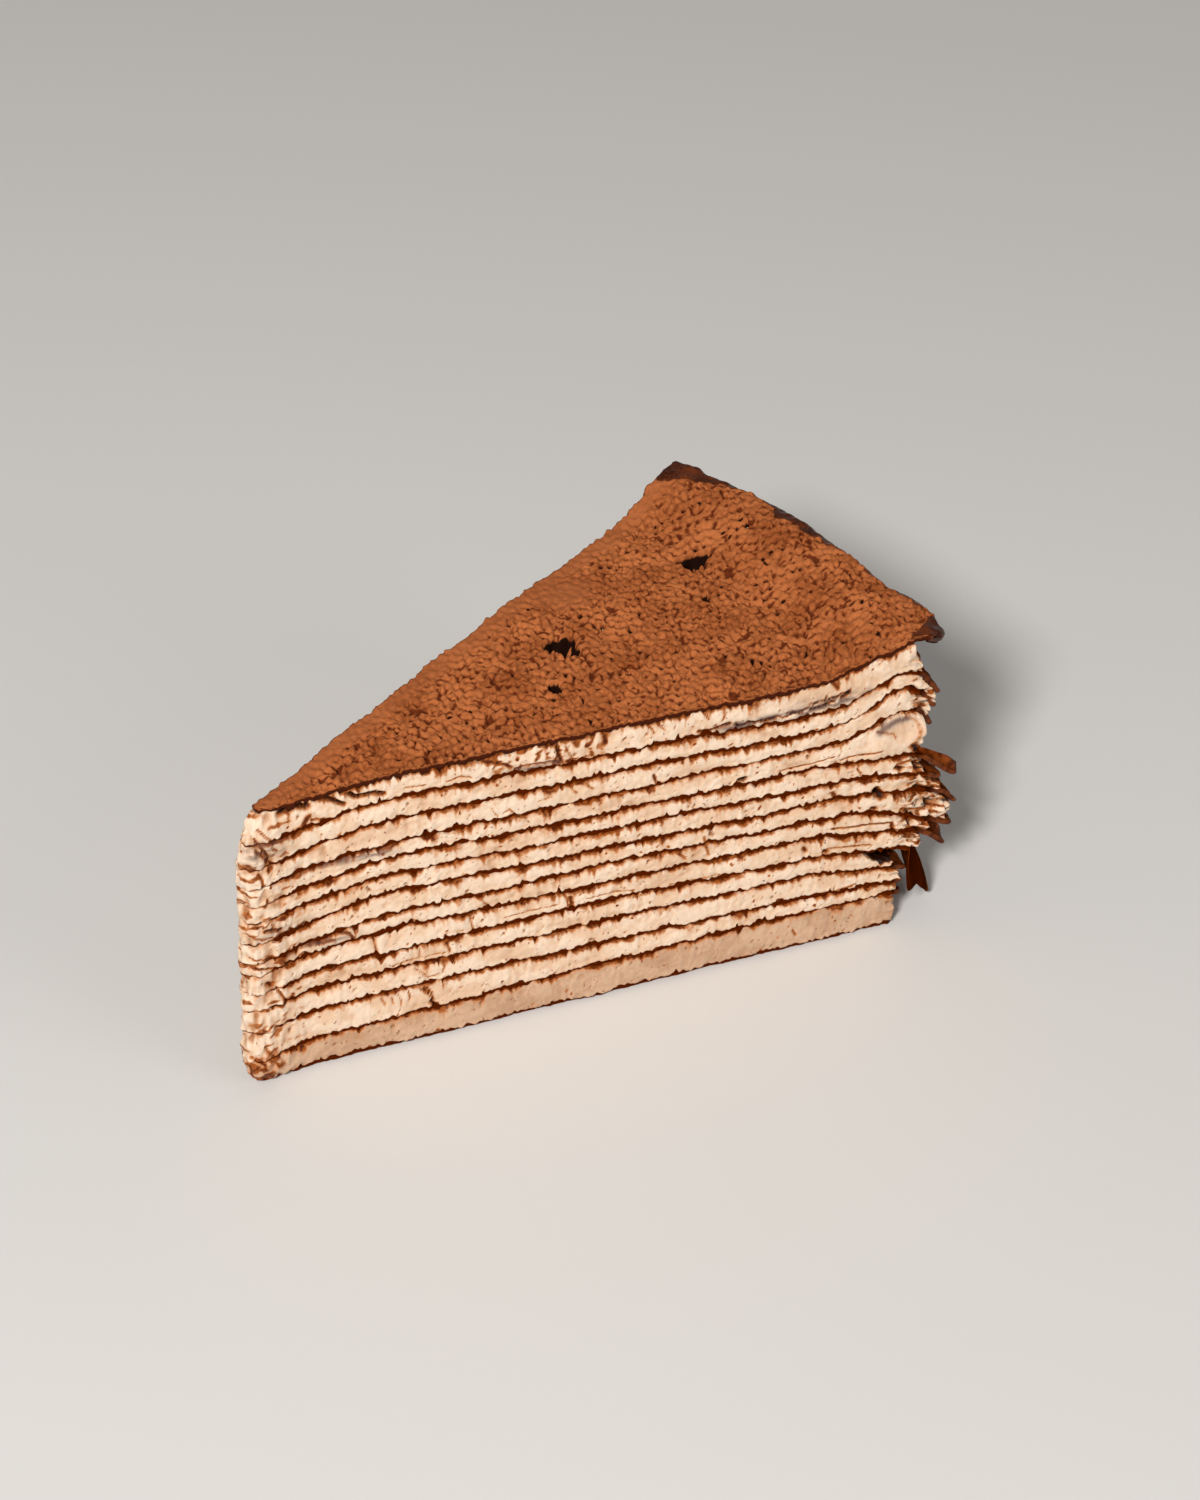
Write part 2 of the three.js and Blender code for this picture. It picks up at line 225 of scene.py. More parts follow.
def torn(crepe, angle):
    """From 1 where the crepe is torn at the front corner of the rim to 0 where it is as baked."""
    wide = TORN[crepe][1]
    return 1 - ease(from_cut(angle), 0.6 * wide, 1.5 * wide)


def crepe_height(crepe, x, y):
    distance, angle = polar(x, y)
    if crepe == 0:
        return np.full_like(distance, CREPE_HEIGHTS[0, 0])
    share = (angle + HALF) / (2 * HALF)
    back = BACK_RIM_HEIGHT - BACK_RIM_SPACING * (TOP - crepe)
    heights = [*CREPE_HEIGHTS[crepe, :-1], mix(CREPE_HEIGHTS[crepe, -1], back, share)]
    wave = share * WAVE_HEIGHT * np.sin(2 * np.pi * distance / WAVE_LENGTH + 1.7 * crepe)
    line = np.reshape(TORN[crepe][3], (-1, 2))
    torn_here = torn(crepe, angle) * ease(distance, line[0, 0], line[0, 0] + 4)
    return mix(eased(HEIGHT_AT, heights, distance) + wave, rounded(distance, *line.T, by=0.8), torn_here)


trial = np.array([20.0, 60, 100])
trial = crepe_height(9, trial * math.cos(HALF), -trial * math.sin(HALF))
print("crepe 9 along the front cut, mm high:", trial.round(2))

# %% [markdown]
# At the outside, a crepe's cut edge is ragged, and in places the knife has dragged cream over it so that
# the dark line closes up. That happens most at the tip, where the layers are smeared into one column, and
# in a few places along the cut. At the torn corner everything is more uneven.

# %% How ragged a crepe's cut edge is
# Places on the front cut face where cream covers a crepe's edge: crepe, distance, half length.
COVERED = [
    (10, 38.5, 0.7), (10, 46.3, 0.5), (8, 26.3, 0.6), (8, 37.3, 0.6), (8, 32.5, 0.8), (8, 42, 0.8),
    (5, 42.3, 0.9), (1, 41.4, 0.8), (3, 28, 0.5), (4, 31, 0.4), (6, 17.5, 0.5),
]


def covered(crepe, x, y):
    """How far the cream closes over a crepe's cut edge, from 0 to 1."""
    distance, angle = polar(x, y)
    at = points_at(x, y, 11.0 * crepe)
    tip = (1 - ease(distance, 1.5, 6)) * (0.75 + 0.4 * ease(noise(at, 2.2, 22), -0.2, 0.1))
    here = np.maximum(tip, 0.9 * ease(noise(at, 1.5, 21), 0.5, 0.75) * (1 - ease(distance, 84, 90)))
    for number, place, half in COVERED:
        if number == crepe:
            here = np.maximum(here, np.exp(-((distance - place) / half) ** 2) * at_front_cut(angle))
    return np.clip(here, 0, 1)


def messy(distance, angle):
    """From 0 to 1 where the layers are torn and smeared at the front corner of the rim."""
    return ease(distance, 95.5, 102) * (1 - ease(from_cut(angle), 6, 11))


def crepe_faces(crepe, x, y, inside=False):
    """Heights of a crepe's lower and upper face. Well inside the slice they are smooth."""
    middle = crepe_height(crepe, x, y)
    half = THICKNESS / 2
    if inside:
        low, high = middle - half, middle + half
    else:
        at = points_at(x, y, 9.0 * crepe)
        mess = messy(*polar(x, y))
        middle = middle + 0.16 * noise(at, 9, 1) + 0.2 * noise(at, 2.4, 2) + 0.45 * mess * noise(at, 2.4, 9)
        broad = 0.16 * noise(at, 6, 12)
        above = broad + 0.2 * noise(at, 1.5, 3) + 0.34 * noise(at, 0.62, 4)
        above += mess * (0.1 + 0.25 * noise(at, 1.2, 10))
        below = broad + 0.26 * noise(at, 1.7, 5) + 0.36 * noise(at, 0.66, 6)
        below += mess * (0.15 + 0.25 * noise(at, 1.1, 11))
        teeth = 0.8 * ease(noise(at, 0.75, 7), 0.2, 0.8) * ease(noise(at, 4, 8), -0.4, 0.2)
        spikes = 0.7 * ease(noise(at, 0.7, 14), 0.25, 0.8) * ease(noise(at, 5, 13), -0.2, 0.3)
        open_share = 1 - 0.88 * covered(crepe, x, y)
        low = middle - np.maximum(half + 0.13 + below + teeth, 0.08) * open_share
        high = middle + np.maximum(half + above + spikes, 0.06) * open_share
    if crepe == 0:
        return np.zeros_like(low), np.maximum(high, 0.25)
    if crepe == TOP:
        face = crepe_height(crepe, x, y) + TOP_FACE
        return face - TOP_THICKNESS + 1.4 * (low - middle + half), face
    return low, high


trial = np.linspace(10, 95, 400)
low, high = crepe_faces(6, trial * math.cos(HALF), -trial * math.sin(HALF))
print("cut edge of crepe 6, mm thick: from", (high - low).min().round(2), "to", (high - low).max().round(2))

# %% [markdown]
# Every layer is modelled once round its outline, from the tip along the front cut face, round the rim and
# back along the other face. The columns of all layers run in the same order, so the layers meet column
# by column. A column can be moved out or in by any amount without crossing its neighbours, because near
# a corner it also slides towards or away from that corner.

# %% The columns of the outline
FRONT_STEPS, RIM_STEPS, BACK_STEPS, TIP_STEPS = 464, 216, 290, 34
starts = np.cumsum([0, FRONT_STEPS, RIM_STEPS, BACK_STEPS, TIP_STEPS])
FRONT, RIM, BACK, TIP = (slice(a, b) for a, b in zip(starts[:-1], starts[1:]))
COLUMNS = int(starts[-1])


def midpoints(count):
    return (np.arange(count) + 0.5) / count


# The rim's columns are close together at the torn corner. Once round, each column's place is 0 to 1 along
# the front, to 2 along the rim, to 3 on the back and to 4 at the tip.
rim_share = midpoints(RIM_STEPS) * mix(0.4, 1, midpoints(RIM_STEPS))
ROUND = np.concatenate([
    midpoints(FRONT_STEPS), 1 + rim_share, 2 + midpoints(BACK_STEPS), 3 + midpoints(TIP_STEPS),
])
RIM_ANGLE = mix(-HALF, HALF, rim_share)
RIM_SIDE = np.array([np.cos(RIM_ANGLE), np.sin(RIM_ANGLE)])
FROM_CUT = from_cut(RIM_ANGLE)
on_rim = np.zeros(COLUMNS, bool)
on_rim[RIM] = True
print(COLUMNS, "columns, at the torn corner", (FROM_CUT[1] - FROM_CUT[0]).round(2), "mm apart")

# %% [markdown]
# The outline of one level is two straight cuts, a rounded tip and the rim. The rim is uneven, as it was
# baked: its radius changes a little from step to step, and at the torn corner each crepe has its own.

# %% The outline of one level
# How far from a corner its columns slide, and how far the rounded tip reaches along the cuts.
SLIDE, TIP_LENGTH = 6.0, 9.0
# The steps of the uneven rim, as angles from the middle line.
RIM_AT = np.linspace(-HALF, HALF, 17)


def near_front_corner(angle, reach):
    """From 1 at the front corner of the rim to 0 at so many degrees from it."""
    return 1 - ease(angle + HALF, 0, math.radians(reach))


def rim_radius(crepe, angle):
    steps = [RIM_RADIUS + RIM_UNEVEN * (2 * draw(crepe, step) - 1) for step in range(len(RIM_AT))]
    usual = np.interp(angle, RIM_AT, steps) - 0.5 * (crepe == TOP)
    return mix(usual, TORN[crepe][0], near_front_corner(angle, 7))


class Outline:
    """The columns of one level: shifted(out) gives their x and y, moved out by so many millimetres."""

    def __init__(self, crepe, rim_out=0):
        tip_height = crepe_height(crepe, np.zeros(1), np.zeros(1))
        height, *columns = TIP_COLUMN.T
        reach, self.tip_radius = (eased(height, column, tip_height)[0] for column in columns)
        self.tip_centre = reach + self.tip_radius
        self.radius = rim_radius(crepe, RIM_ANGLE) + rim_out

    def shifted(self, out):
        out = np.broadcast_to(out, COLUMNS)
        x, y = np.empty(COLUMNS), np.empty(COLUMNS)
        for side, sign, end in ((FRONT, -1, self.radius[0]), (BACK, 1, self.radius[-1])):
            share = ROUND[side] % 1 if side == FRONT else 1 - ROUND[side] % 1
            distance = CAKE_RADIUS * share
            distance = distance + (end - CAKE_RADIUS) * ease(distance, 82, CAKE_RADIUS)
            proud = mix(self.tip_radius, 0, ease(distance, 0, TIP_LENGTH))
            centre = mix(self.tip_centre, 0, ease(distance, 0, TIP_LENGTH))
            room = 0.55 * np.maximum(distance * math.sin(HALF), self.tip_radius)
            move = np.maximum(out[side], -room)
            distance = distance + move * ease(distance, end - SLIDE, end)
            x[side] = centre + distance * math.cos(HALF) - (proud + move) * math.sin(HALF)
            y[side] = sign * (distance * math.sin(HALF) + (proud + move) * math.cos(HALF))
        corner = CAKE_RADIUS * HALF
        slide = ease(np.abs(RIM_ANGLE) * CAKE_RADIUS, corner - SLIDE, corner) * np.sign(RIM_ANGLE)
        angle = RIM_ANGLE + slide * out[RIM] / CAKE_RADIUS
        x[RIM], y[RIM] = (self.radius + out[RIM]) * np.cos(angle), (self.radius + out[RIM]) * np.sin(angle)
        turn = mix(math.pi / 2 + HALF, 1.5 * math.pi - HALF, ROUND[TIP] % 1)
        radius = np.maximum(self.tip_radius + out[TIP], 0.45 * self.tip_radius)
        x[TIP], y[TIP] = self.tip_centre + radius * np.cos(turn), radius * np.sin(turn)
        return x, y


trial = Outline(5).shifted(0)
print("outline of crepe 5: x from", trial[0].min().round(2), "to", trial[0].max().round(2))

# %% [markdown]
# A closed piece is built ring by ring: from the middle of its lower face outwards, up its side, and inwards
# again over its upper face. `zip_lines` makes the triangles between any two neighbouring lines of points,
# also where they have different numbers of points.

# %% Gather points and triangles
class Skin:
    """The points, marks and triangles of one closed piece."""

    def __init__(self):
        self.points, self.marks, self.triangles, self.count = [], [], [], 0

    def ring(self, x, y, z, **marks):
        """Adds points and returns their numbers. marks are values for the finish, such as stain=0.4."""
        points = points_at(x, y, z)
        self.points.append(points)
        self.marks.append({name: np.broadcast_to(value, len(points)) for name, value in marks.items()})
        self.count += len(points)
        return np.arange(self.count - len(points), self.count)

    def strip(self, left, right, closed=True):
        """Triangles between two lines with the same number of points."""
        a, b = (np.append(line, line[0]) if closed else np.asarray(line) for line in (left, right))
        self.triangles += [np.stack([a[:-1], a[1:], b[1:]], -1), np.stack([a[:-1], b[1:], b[:-1]], -1)]

    def zip_lines(self, left, right, left_at=None, right_at=None):
        """Triangles between two lines of any lengths, matched by the places given along them."""
        left_at = np.linspace(0, 1, len(left)) if left_at is None else left_at
        right_at = np.linspace(0, 1, len(right)) if right_at is None else right_at
        a = b = 0
        made = []
        while a < len(left) - 1 or b < len(right) - 1:
            if a == len(left) - 1 or (b < len(right) - 1 and right_at[b + 1] <= left_at[a + 1]):
                made.append((left[a], right[b + 1], right[b]))
                b += 1
            else:
                made.append((left[a], left[a + 1], right[b]))
                a += 1
        self.triangles.append(np.array(made))

    def zip_rings(self, ring, ring_at, border, border_at, upper):
        """Triangles between a ring and the border inside it, on an upper or a lower face."""
        lines = [np.append(line, line[0]) for line in (ring, border)]
        places = [np.append(at, 4 + at[0]) for at in (ring_at, border_at)]
        if not upper:
            lines, places = lines[::-1], places[::-1]
        self.zip_lines(*lines, *places)

    def mesh(self, name):
        points = (np.concatenate(self.points) + APEX) * MM
        triangles = np.concatenate(self.triangles).astype(np.int32)
        triangles = triangles[(triangles != np.roll(triangles, 1, axis=1)).all(axis=1)]
        mesh = bpy.data.meshes.new(name)
        mesh.vertices.add(len(points))
        mesh.vertices.foreach_set("co", points.ravel())
        mesh.loops.add(triangles.size)
        mesh.loops.foreach_set("vertex_index", triangles.ravel())
        mesh.polygons.add(len(triangles))
        mesh.polygons.foreach_set("loop_start", np.arange(0, triangles.size, 3))
        mesh.update(calc_edges=True)
        blocks = list(zip(self.marks, self.points))
        for mark in sorted(set().union(*self.marks)):
            values = np.concatenate([marks.get(mark, np.zeros(len(block))) for marks, block in blocks])
            mesh.attributes.new(mark, "FLOAT", "POINT").data.foreach_set("value", values.astype(np.float32))
        mesh.polygons.foreach_set("use_smooth", np.ones(len(triangles), bool))
        return mesh


print("a skin has no points yet:", Skin().count)

# %% [markdown]
# Inside the slice nothing shows, so the faces of the layers need few triangles there. From the ring of all
# columns the mesh goes to a ring of every sixth one, and from there to a row of points on the middle line.

# %% The hidden middle of a face
EVERY, SPINE = 6, 26
SPINE_AT = mix(2.0, 97.0, midpoints(SPINE))
# How much of the way from the outline to the middle line the inner ring lies.
INNER_SHARE = 0.35
# Faces inside the slice are marked to be painted nearly black, as shade.
HIDDEN_SHADE = {"core": 2, "dark": 1}
few = np.arange(0, COLUMNS, EVERY)
few_round = ROUND[few]
spine_of = np.select(
    [few_round < 1, few_round < 2, few_round < 3],
    [few_round * SPINE, SPINE - 1, (3 - few_round) * SPINE], 0,
).astype(int).clip(0, SPINE - 1)


def middle_of_face(skin, ring, x, y, height, upper):
    """Closes a face inside its ring of columns. height(x, y) gives the face."""
    x, y = mix(x[few], SPINE_AT[spine_of], INNER_SHARE), mix(y[few], 0, INNER_SHARE)
    inner = skin.ring(x, y, height(x, y), **HIDDEN_SHADE)
    spine = skin.ring(SPINE_AT, 0 * SPINE_AT, height(SPINE_AT, 0 * SPINE_AT), **HIDDEN_SHADE)
    made = []
    for one, two, a, b in zip(inner, np.roll(inner, -1), spine_of, np.roll(spine_of, -1)):
        made.append((one, two, spine[a]))
        if a != b:
            made.append((two, spine[b], spine[a]))
    made = np.array(made)
    skin.triangles.append(made if upper else made[:, ::-1])
    skin.zip_rings(ring, ROUND, inner, few_round, upper)


print("middle of a face:", len(few), "points round,", SPINE, "along the middle line")

# %% [markdown]
# A face that does show, such as the top of the slice, needs a fine and even mesh. Rows of points run across
# it from one cut face to the other, each row with as many points as its length asks for. Near the rim the
# rows bend until the last one follows it.

# %% A fine face
def fine_face(skin, ring, level, height, spacing, inset, marks=None, upper=True):
    """Closes a face inside its ring of columns with points about spacing mm apart."""
    edge = np.stack(level.shifted(-inset), -1)
    front, rim, back = edge[FRONT], edge[RIM], edge[BACK][::-1]
    length = np.hypot(*(front[-1] - front[0]))
    shares = np.linspace(0.006, 1, int(length / spacing))
    ends = [np.stack([np.interp(shares, midpoints(len(side)), side[:, axis]) for axis in (0, 1)], -1)
            for side in (front, back)]
    lines = []
    for share, a, b in zip(shares, *ends):
        across = np.linspace(0, 1, max(2, int(np.hypot(*(b - a)) / spacing) + 1))
        radius = mix(np.hypot(*a), np.hypot(*b), across)
        angle = mix(math.atan2(a[1], a[0]), math.atan2(b[1], b[0]), across)
        bend = ease(share, 0.9, 1)
        x = mix(radius * np.cos(angle), np.interp(across, rim_share, rim[:, 0]), bend)
        y = mix(radius * np.sin(angle), np.interp(across, rim_share, rim[:, 1]), bend)
        lines.append((x, y))
    x, y = (np.concatenate([line[axis] for line in lines]) for axis in (0, 1))
    numbers = skin.ring(x, y, height(x, y), **(marks(x, y) if marks else {}))
    rows = np.split(numbers, np.cumsum([len(x) for x, _ in lines])[:-1])
    for a, b in zip(rows[:-1], rows[1:]):
        skin.zip_lines(*((b, a) if upper else (a, b)))
    first, last = rows[0], rows[-1]
    border = np.concatenate([
        [row[0] for row in rows], last[1:-1], [row[-1] for row in rows[::-1]], first[1:-1][::-1],
    ]).astype(int)
    places = np.concatenate([
        shares * 0.999, 1 + np.linspace(0, 1, len(last))[1:-1],
        2 + (1 - shares[::-1]) * 0.999, 3 + np.linspace(0, 1, len(first))[1:-1],
    ])
    skin.zip_rings(ring, ROUND, border, places, upper)


trial = Skin()
trial_level = Outline(5)
trial_ring = trial.ring(*trial_level.shifted(-1), 0)
fine_face(trial, trial_ring, trial_level, lambda x, y: 0 * x, 2, 2)
print("a fine face with points 2 mm apart has", trial.count - COLUMNS, "points")

# %% [markdown]
# ## The holes in the top crepe
#
# The top crepe has burst in four places while it was baked. Each hole is an uneven pit, painted dark as
# shade.
# `hole_depth` gives its depth at any place, so that the cream below makes room for it.

# %% The holes
# Each hole: where it is, along and across the slice, and how long and how wide it is.
HOLES = np.array([[56, 4, 5.2, 6.0], [84.7, 9.8, 5.2, 4.4], [49, -3.3, 2.8, 3.0], [80.5, 1.7, 2.0, 1.6]])
# How deep it is in the top crepe's upper and lower face, and in the cream under it, where it is wider.
HOLE_IN_TOP, HOLE_UNDER_TOP, HOLE_IN_CREAM, HOLE_WIDER = 3.2, 2.9, 3.3, 1.15


def hole_depth(x, y, deep, wider=1):
    depth = np.zeros_like(x)
    for number, (at_x, at_y, long, wide) in enumerate(HOLES):
        turn = np.arctan2((y - at_y) / wide, (x - at_x) / long)
        uneven = 1 + 0.16 * np.sin(3 * turn + number) + 0.1 * np.sin(5 * turn + 2 * number)
        far = np.hypot((x - at_x) / long, (y - at_y) / wide) * 2 / uneven / wider
        depth = np.maximum(depth, deep * (1 - ease(far, 0.6, 1.0)))
    return depth


print("hole depth at its middle:", hole_depth(np.array([56.0]), np.array([4.0]), HOLE_IN_TOP))

# %% [markdown]
# ## The cream
#
# A cake knife leaves marks in soft cream where it dragged crumbs along: curved scratches, ridges and small
# pits, brown where a crepe was rubbed off. Random marks would look like noise, so these follow the ones
# that show on the front face, each as a line of places.

# %% The knife's marks on the front cut face
# Each stroke: how wide, how deep (a ridge if below 0), how brown, and the places that it runs through:
# distance and height, again and again.
STROKES = [
    (0.4, 1.3, 2.0, [4.4, 47.1, 6.5, 47.6, 8.2, 46.9]), (0.3, 0.9, 1.9, [11, 47.5, 12, 47, 13.4, 46]),
    (0.32, 1.0, 2.0, [14.3, 47.5, 14.9, 46.9, 17.5, 46.8, 19, 46.3]),
    (0.12, 0.2, 0.8, [22, 46.5, 25, 46.2]), (0.5, 0.1, 1.0, [6.3, 42.9, 7.4, 43.8, 8.4, 45.3]),
    (0.24, 0.2, 0.9, [8.8, 44.5, 10.6, 44.2]), (0.2, 0.5, 1.2, [0.5, 42.4, 1.6, 41, 2.6, 39.6, 2.2, 38.3]),
    (0.18, 0.3, 0.8, [1, 45.7, 2.6, 43.7]), (0.15, 0.3, 0.9, [2.7, 42.6, 3.5, 41.4]),
    (0.26, 0.3, 1.0, [0.2, 43.2, 2.5, 43.3, 4.8, 42.9]), (0.2, 0.4, 1.0, [0.6, 38.6, 1.2, 37.4, 1, 36.2]),
    (0.3, 0.4, 1.2, [1.2, 28.4, 2.2, 28.1]), (0.25, 0.3, 1.5, [2.4, 27.9, 3.7, 27.6]),
    (0.2, 0.2, 1.3, [3, 26.9, 5.2, 26.6, 7.2, 27.1]), (0.22, 0.3, 1.4, [1.6, 42.2, 2.2, 40.8, 2, 39.8]),
    (0.2, 0.2, 1.2, [0.4, 44.2, 1.4, 42.6, 1.2, 41.6]),
    (0.18, 0.2, 0.9, [-1.2, 28.3, 0.5, 27.2, 2.5, 26.7, 4.4, 26.4]), (0.2, 0.3, 1.2, [5.1, 27, 5.7, 26.3]),
    (0.18, 0.2, 0.9, [-1, 24.1, 1, 23.3, 3, 23, 5, 23.3]),
    (0.2, 0.3, 1.0, [-1.4, 22.8, 0.8, 21.8, 3, 20.8, 5.5, 20.6, 7, 21.8, 8, 21.1]),
    (0.55, 0.1, 0.8, [3.4, 22.2, 4, 21.2]), (0.28, 0.2, 0.8, [7.5, 23.3, 9.5, 22.6, 11.5, 22.4]),
    (0.24, 0.4, 1.1, [12.8, 23.4, 13.8, 23, 14.3, 22]), (0.3, 0.5, 1.3, [1.4, 18.6, 2, 18.2]),
    (0.18, 0.4, 1.0, [2.6, 17.5, 3.4, 15.8, 4, 14.5]), (0.25, 0.2, 0.9, [5.1, 15.2, 5.3, 14.9]),
    (0.12, 0.1, 0.7, [0.5, 11.3, 1.8, 10.9, 2.7, 10.3]), (0.3, 0.4, 1.2, [6.2, 4.4, 6.7, 3.9]),
    (0.25, 0.3, 1.1, [3.7, 5.3, 3.9, 5]), (0.22, 0.3, 1.0, [5.3, 4.8, 5.6, 4.4]),
    (0.24, 0.3, 0.9, [-1.4, 6, -0.3, 5.2, 0.4, 4.4, 0.2, 3]), (0.2, 0.3, 0.8, [0.5, 7.5, 1, 6.4, 1.8, 5.2]),
    (0.2, 0.3, 0.8, [-1.5, 3.5, -0.7, 2, 0.2, 1.2]), (0.2, 0.3, 0.8, [1.5, 4.6, 2.6, 3.4]),
    (0.17, 0.5, 0.7, [17.3, 21.6, 17.5, 19.5, 17.8, 18.2]), (0.5, -0.3, 0, [18.2, 21.4, 18.4, 18.4]),
    (0.14, 0.3, 0.9, [22.2, 9.9, 22.6, 8.8, 22.4, 8]), (0.14, 0.3, 0.9, [24, 9.7, 25, 8.6, 26, 7.3]),
    (0.14, 0.3, 0.8, [24.6, 9.9, 26.1, 8.3]), (0.16, 0.3, 0.9, [18.3, 9.5, 18.9, 8.3]),
    (0.14, 0.3, 0.7, [19.8, 9.2, 20.1, 8]), (0.13, 0.2, 0.6, [20.8, 9.6, 21.3, 8.2, 21.2, 7.4]),
    (0.14, 0.3, 1.2, [24.4, 9.6, 25.7, 8.3, 26, 7.3]), (0.28, 0.6, 1.4, [26, 7, 25.8, 6.6, 26.3, 5.9]),
    (0.1, 0.2, 0.8, [20, 15.2, 23, 15.5, 28, 15.4]), (0.17, 0.5, 0.7, [27.8, 18.7, 28.2, 17, 28.6, 15.1]),
    (0.5, -0.3, 0, [28.9, 18, 29.2, 15.4]), (0.12, 0.3, 0.6, [23.4, 13.6, 24.6, 12.4, 25.4, 11.4]),
    (0.12, 0.3, 0.6, [27, 14, 27.8, 13, 27.4, 11.8, 25.4, 11.6]), (0.1, 0.2, 0.5, [24, 17, 24.1, 15.6]),
    (0.1, 0.1, 0.5, [28.3, 7.8, 30.6, 8.2]), (0.17, 0.4, 0.7, [31.4, 21.3, 31.7, 19.8, 32, 18.4]),
    (0.13, 0.2, 0.8, [32.8, 24.2, 33.6, 22.8, 34.3, 22]),
    (0.1, 0.2, 0.9, [36.4, 19.3, 40, 19.4, 44.6, 19.4]), (0.1, 0.1, 0.6, [28, 19, 30.5, 18.7]),
    (0.17, 0.4, 0.9, [45.5, 21.3, 46.1, 20, 46.3, 18.8]), (0.3, 0.4, 1.2, [46.6, 20, 46.9, 18.6]),
    (0.12, 0.2, 0.7, [34.5, 39.6, 35.1, 38.4, 35.5, 37.9]),
    (0.13, 0.2, 0.8, [36.3, 38.3, 37.2, 38.7, 37.9, 37.7]), (0.1, 0.1, 0.6, [41.4, 39, 43.4, 39.2]),
    (0.2, 0.1, 0.8, [46.6, 39.4, 47.2, 38.8]), (0.2, 0.1, 0.8, [48.8, 39.6, 49.5, 39]),
    (0.14, 0.2, 0.8, [28, 46, 30, 46.4, 31.6, 45.8]),
    (0.3, 0.3, 1.1, [33.2, 48, 35, 47.4, 36.6, 46.6, 37.4, 45.8]),
    (0.26, 0.6, 1.5, [44, 47.6, 44.4, 46, 44.8, 44.9]), (0.12, 0.3, 0.9, [45.2, 47.6, 45.8, 46, 46.4, 45]),
    (0.16, 0.3, 1.1, [37.8, 45.5, 40.5, 45.7, 43.8, 45.3]),
    (0.1, 0.2, 1.1, [45.8, 44.8, 48, 44.9, 50.5, 44.6, 51.9, 44]),
    (0.3, 0.2, 1.1, [50.8, 48.6, 51.3, 47.6, 51.2, 46.6]),
    (0.14, 0.2, 0.9, [57.4, 48, 58, 47.2, 58.4, 46.3]), (0.14, 0.2, 0.9, [59, 47.7, 60, 46.5]),
    (0.13, 0.2, 0.9, [66, 47.7, 66.5, 46.7]), (0.22, 0.1, 0.8, [68.8, 48, 69, 46.7, 68.6, 46]),
    (0.16, 0.3, 1.2, [65, 44.8, 66.2, 44.5, 68, 44.8, 69.8, 44.9]),
    (0.3, 0.4, 1.7, [75.3, 44.1, 76.8, 44.2]), (0.22, 0.4, 1.2, [58.6, 38.9, 59, 37.7]),
    (0.3, 0.4, 1.7, [68.8, 44.9, 69.8, 45]), (0.16, 0.2, 1.4, [65.2, 45, 67, 44.6, 68.9, 44.8]),
    (0.15, 0.2, 1.4, [70.6, 44.8, 71.6, 44.2, 72.6, 44.8, 73.6, 44.2, 74.8, 44.6]),
    (0.15, 0.2, 1.4, [71, 44.3, 73, 44.5, 75, 44.2]),
    (0.15, 0.2, 1.3, [77, 44.5, 78.2, 44, 79.6, 44.5, 81, 44.1]),
    (0.2, 0.3, 1.6, [82.2, 44.3, 84, 44.6, 85.8, 45.1]), (0.15, 0.2, 1.4, [82, 45.2, 85, 45.5, 88.4, 46.2]),
    (0.3, 0.3, 1.7, [87, 45.3, 88.2, 45.8]), (0.14, 0.2, 1.3, [78.5, 44.9, 80.5, 44.5, 82, 44.9]),
    (0.3, 0.1, 0.8, [63, 23.7, 64.1, 22.3]), (0.26, 0.1, 0.8, [66.9, 25.5, 67.4, 23.6, 67.8, 22]),
    (0.16, 0.1, 0.7, [65, 20.9, 70, 20.5, 75, 20.3, 80, 20.2]),
    (0.1, 0.1, 0.8, [49, 19.3, 54, 19.1, 56.5, 18.7]), (0.12, 0.1, 0.7, [62, 18.1, 66, 17.9, 70, 17.8]),
    (0.12, 0.2, 1.0, [78, 34.5, 83, 34.4, 86.6, 34.9]), (0.3, 0.3, 1.2, [85.7, 47.9, 86.4, 46.9]),
    (0.13, 0.2, 1.0, [90.4, 31.7, 91.4, 30.1, 94, 29.2, 97, 28.6, 101, 28]),
    (0.12, 0.2, 0.8, [91.6, 28.8, 94.3, 28.2]),
    (0.16, 0.3, 1.2, [87.2, 21.4, 90, 20.9, 93, 20.6, 97, 19.9]),
    (0.13, 0.2, 0.9, [86.8, 17.7, 90, 17.2, 94, 16.5]), (0.12, 0.2, 1.0, [97, 18.6, 100, 18, 102, 17.6]),
    (0.28, 0.4, 1.3, [86.3, 17.4, 86.9, 17.1]), (0.3, 0.4, 1.3, [79.5, 10, 80, 9.9]),
    (0.2, 0.3, 1.0, [82.1, 3.7, 82.7, 2.5]), (0.14, 0.2, 1.0, [85, 9.6, 89, 9.3, 92, 9.7]),
    (0.3, 0.5, 1.3, [93.5, 23.5, 94.1, 23.3]), (0.16, 0.2, 1.0, [94, 34.2, 92, 33.8, 90, 34.2, 87.8, 33.9]),
    (0.3, 0.4, 1.2, [87, 28, 87.4, 27]), (0.4, 0.3, 1.2, [94, 27, 94.6, 25.6]),
    (0.3, 0.4, 1.2, [83, 18.8, 83.4, 18.2]), (0.6, 0.8, 1.7, [98.7, 33.9, 100.2, 32.4]),
    (0.2, 0.3, 1.0, [97, 30.6, 99, 30.9, 100.4, 29.4]),
    (0.26, 0.3, 0.55, [97, 39.2, 98.6, 38.6, 99.3, 37.6, 99.5, 36.4, 99.3, 35.3, 98.6, 34.5]),
    (0.18, 0.4, 0.9, [93.1, 37.7, 94.5, 37.2, 95.7, 36.7, 96.1, 35.9]),
    (0.4, -0.4, 0, [96, 36.4, 95.9, 33.6]), (0.35, 0.6, 1.5, [96.8, 30.1, 97.7, 29.7]),
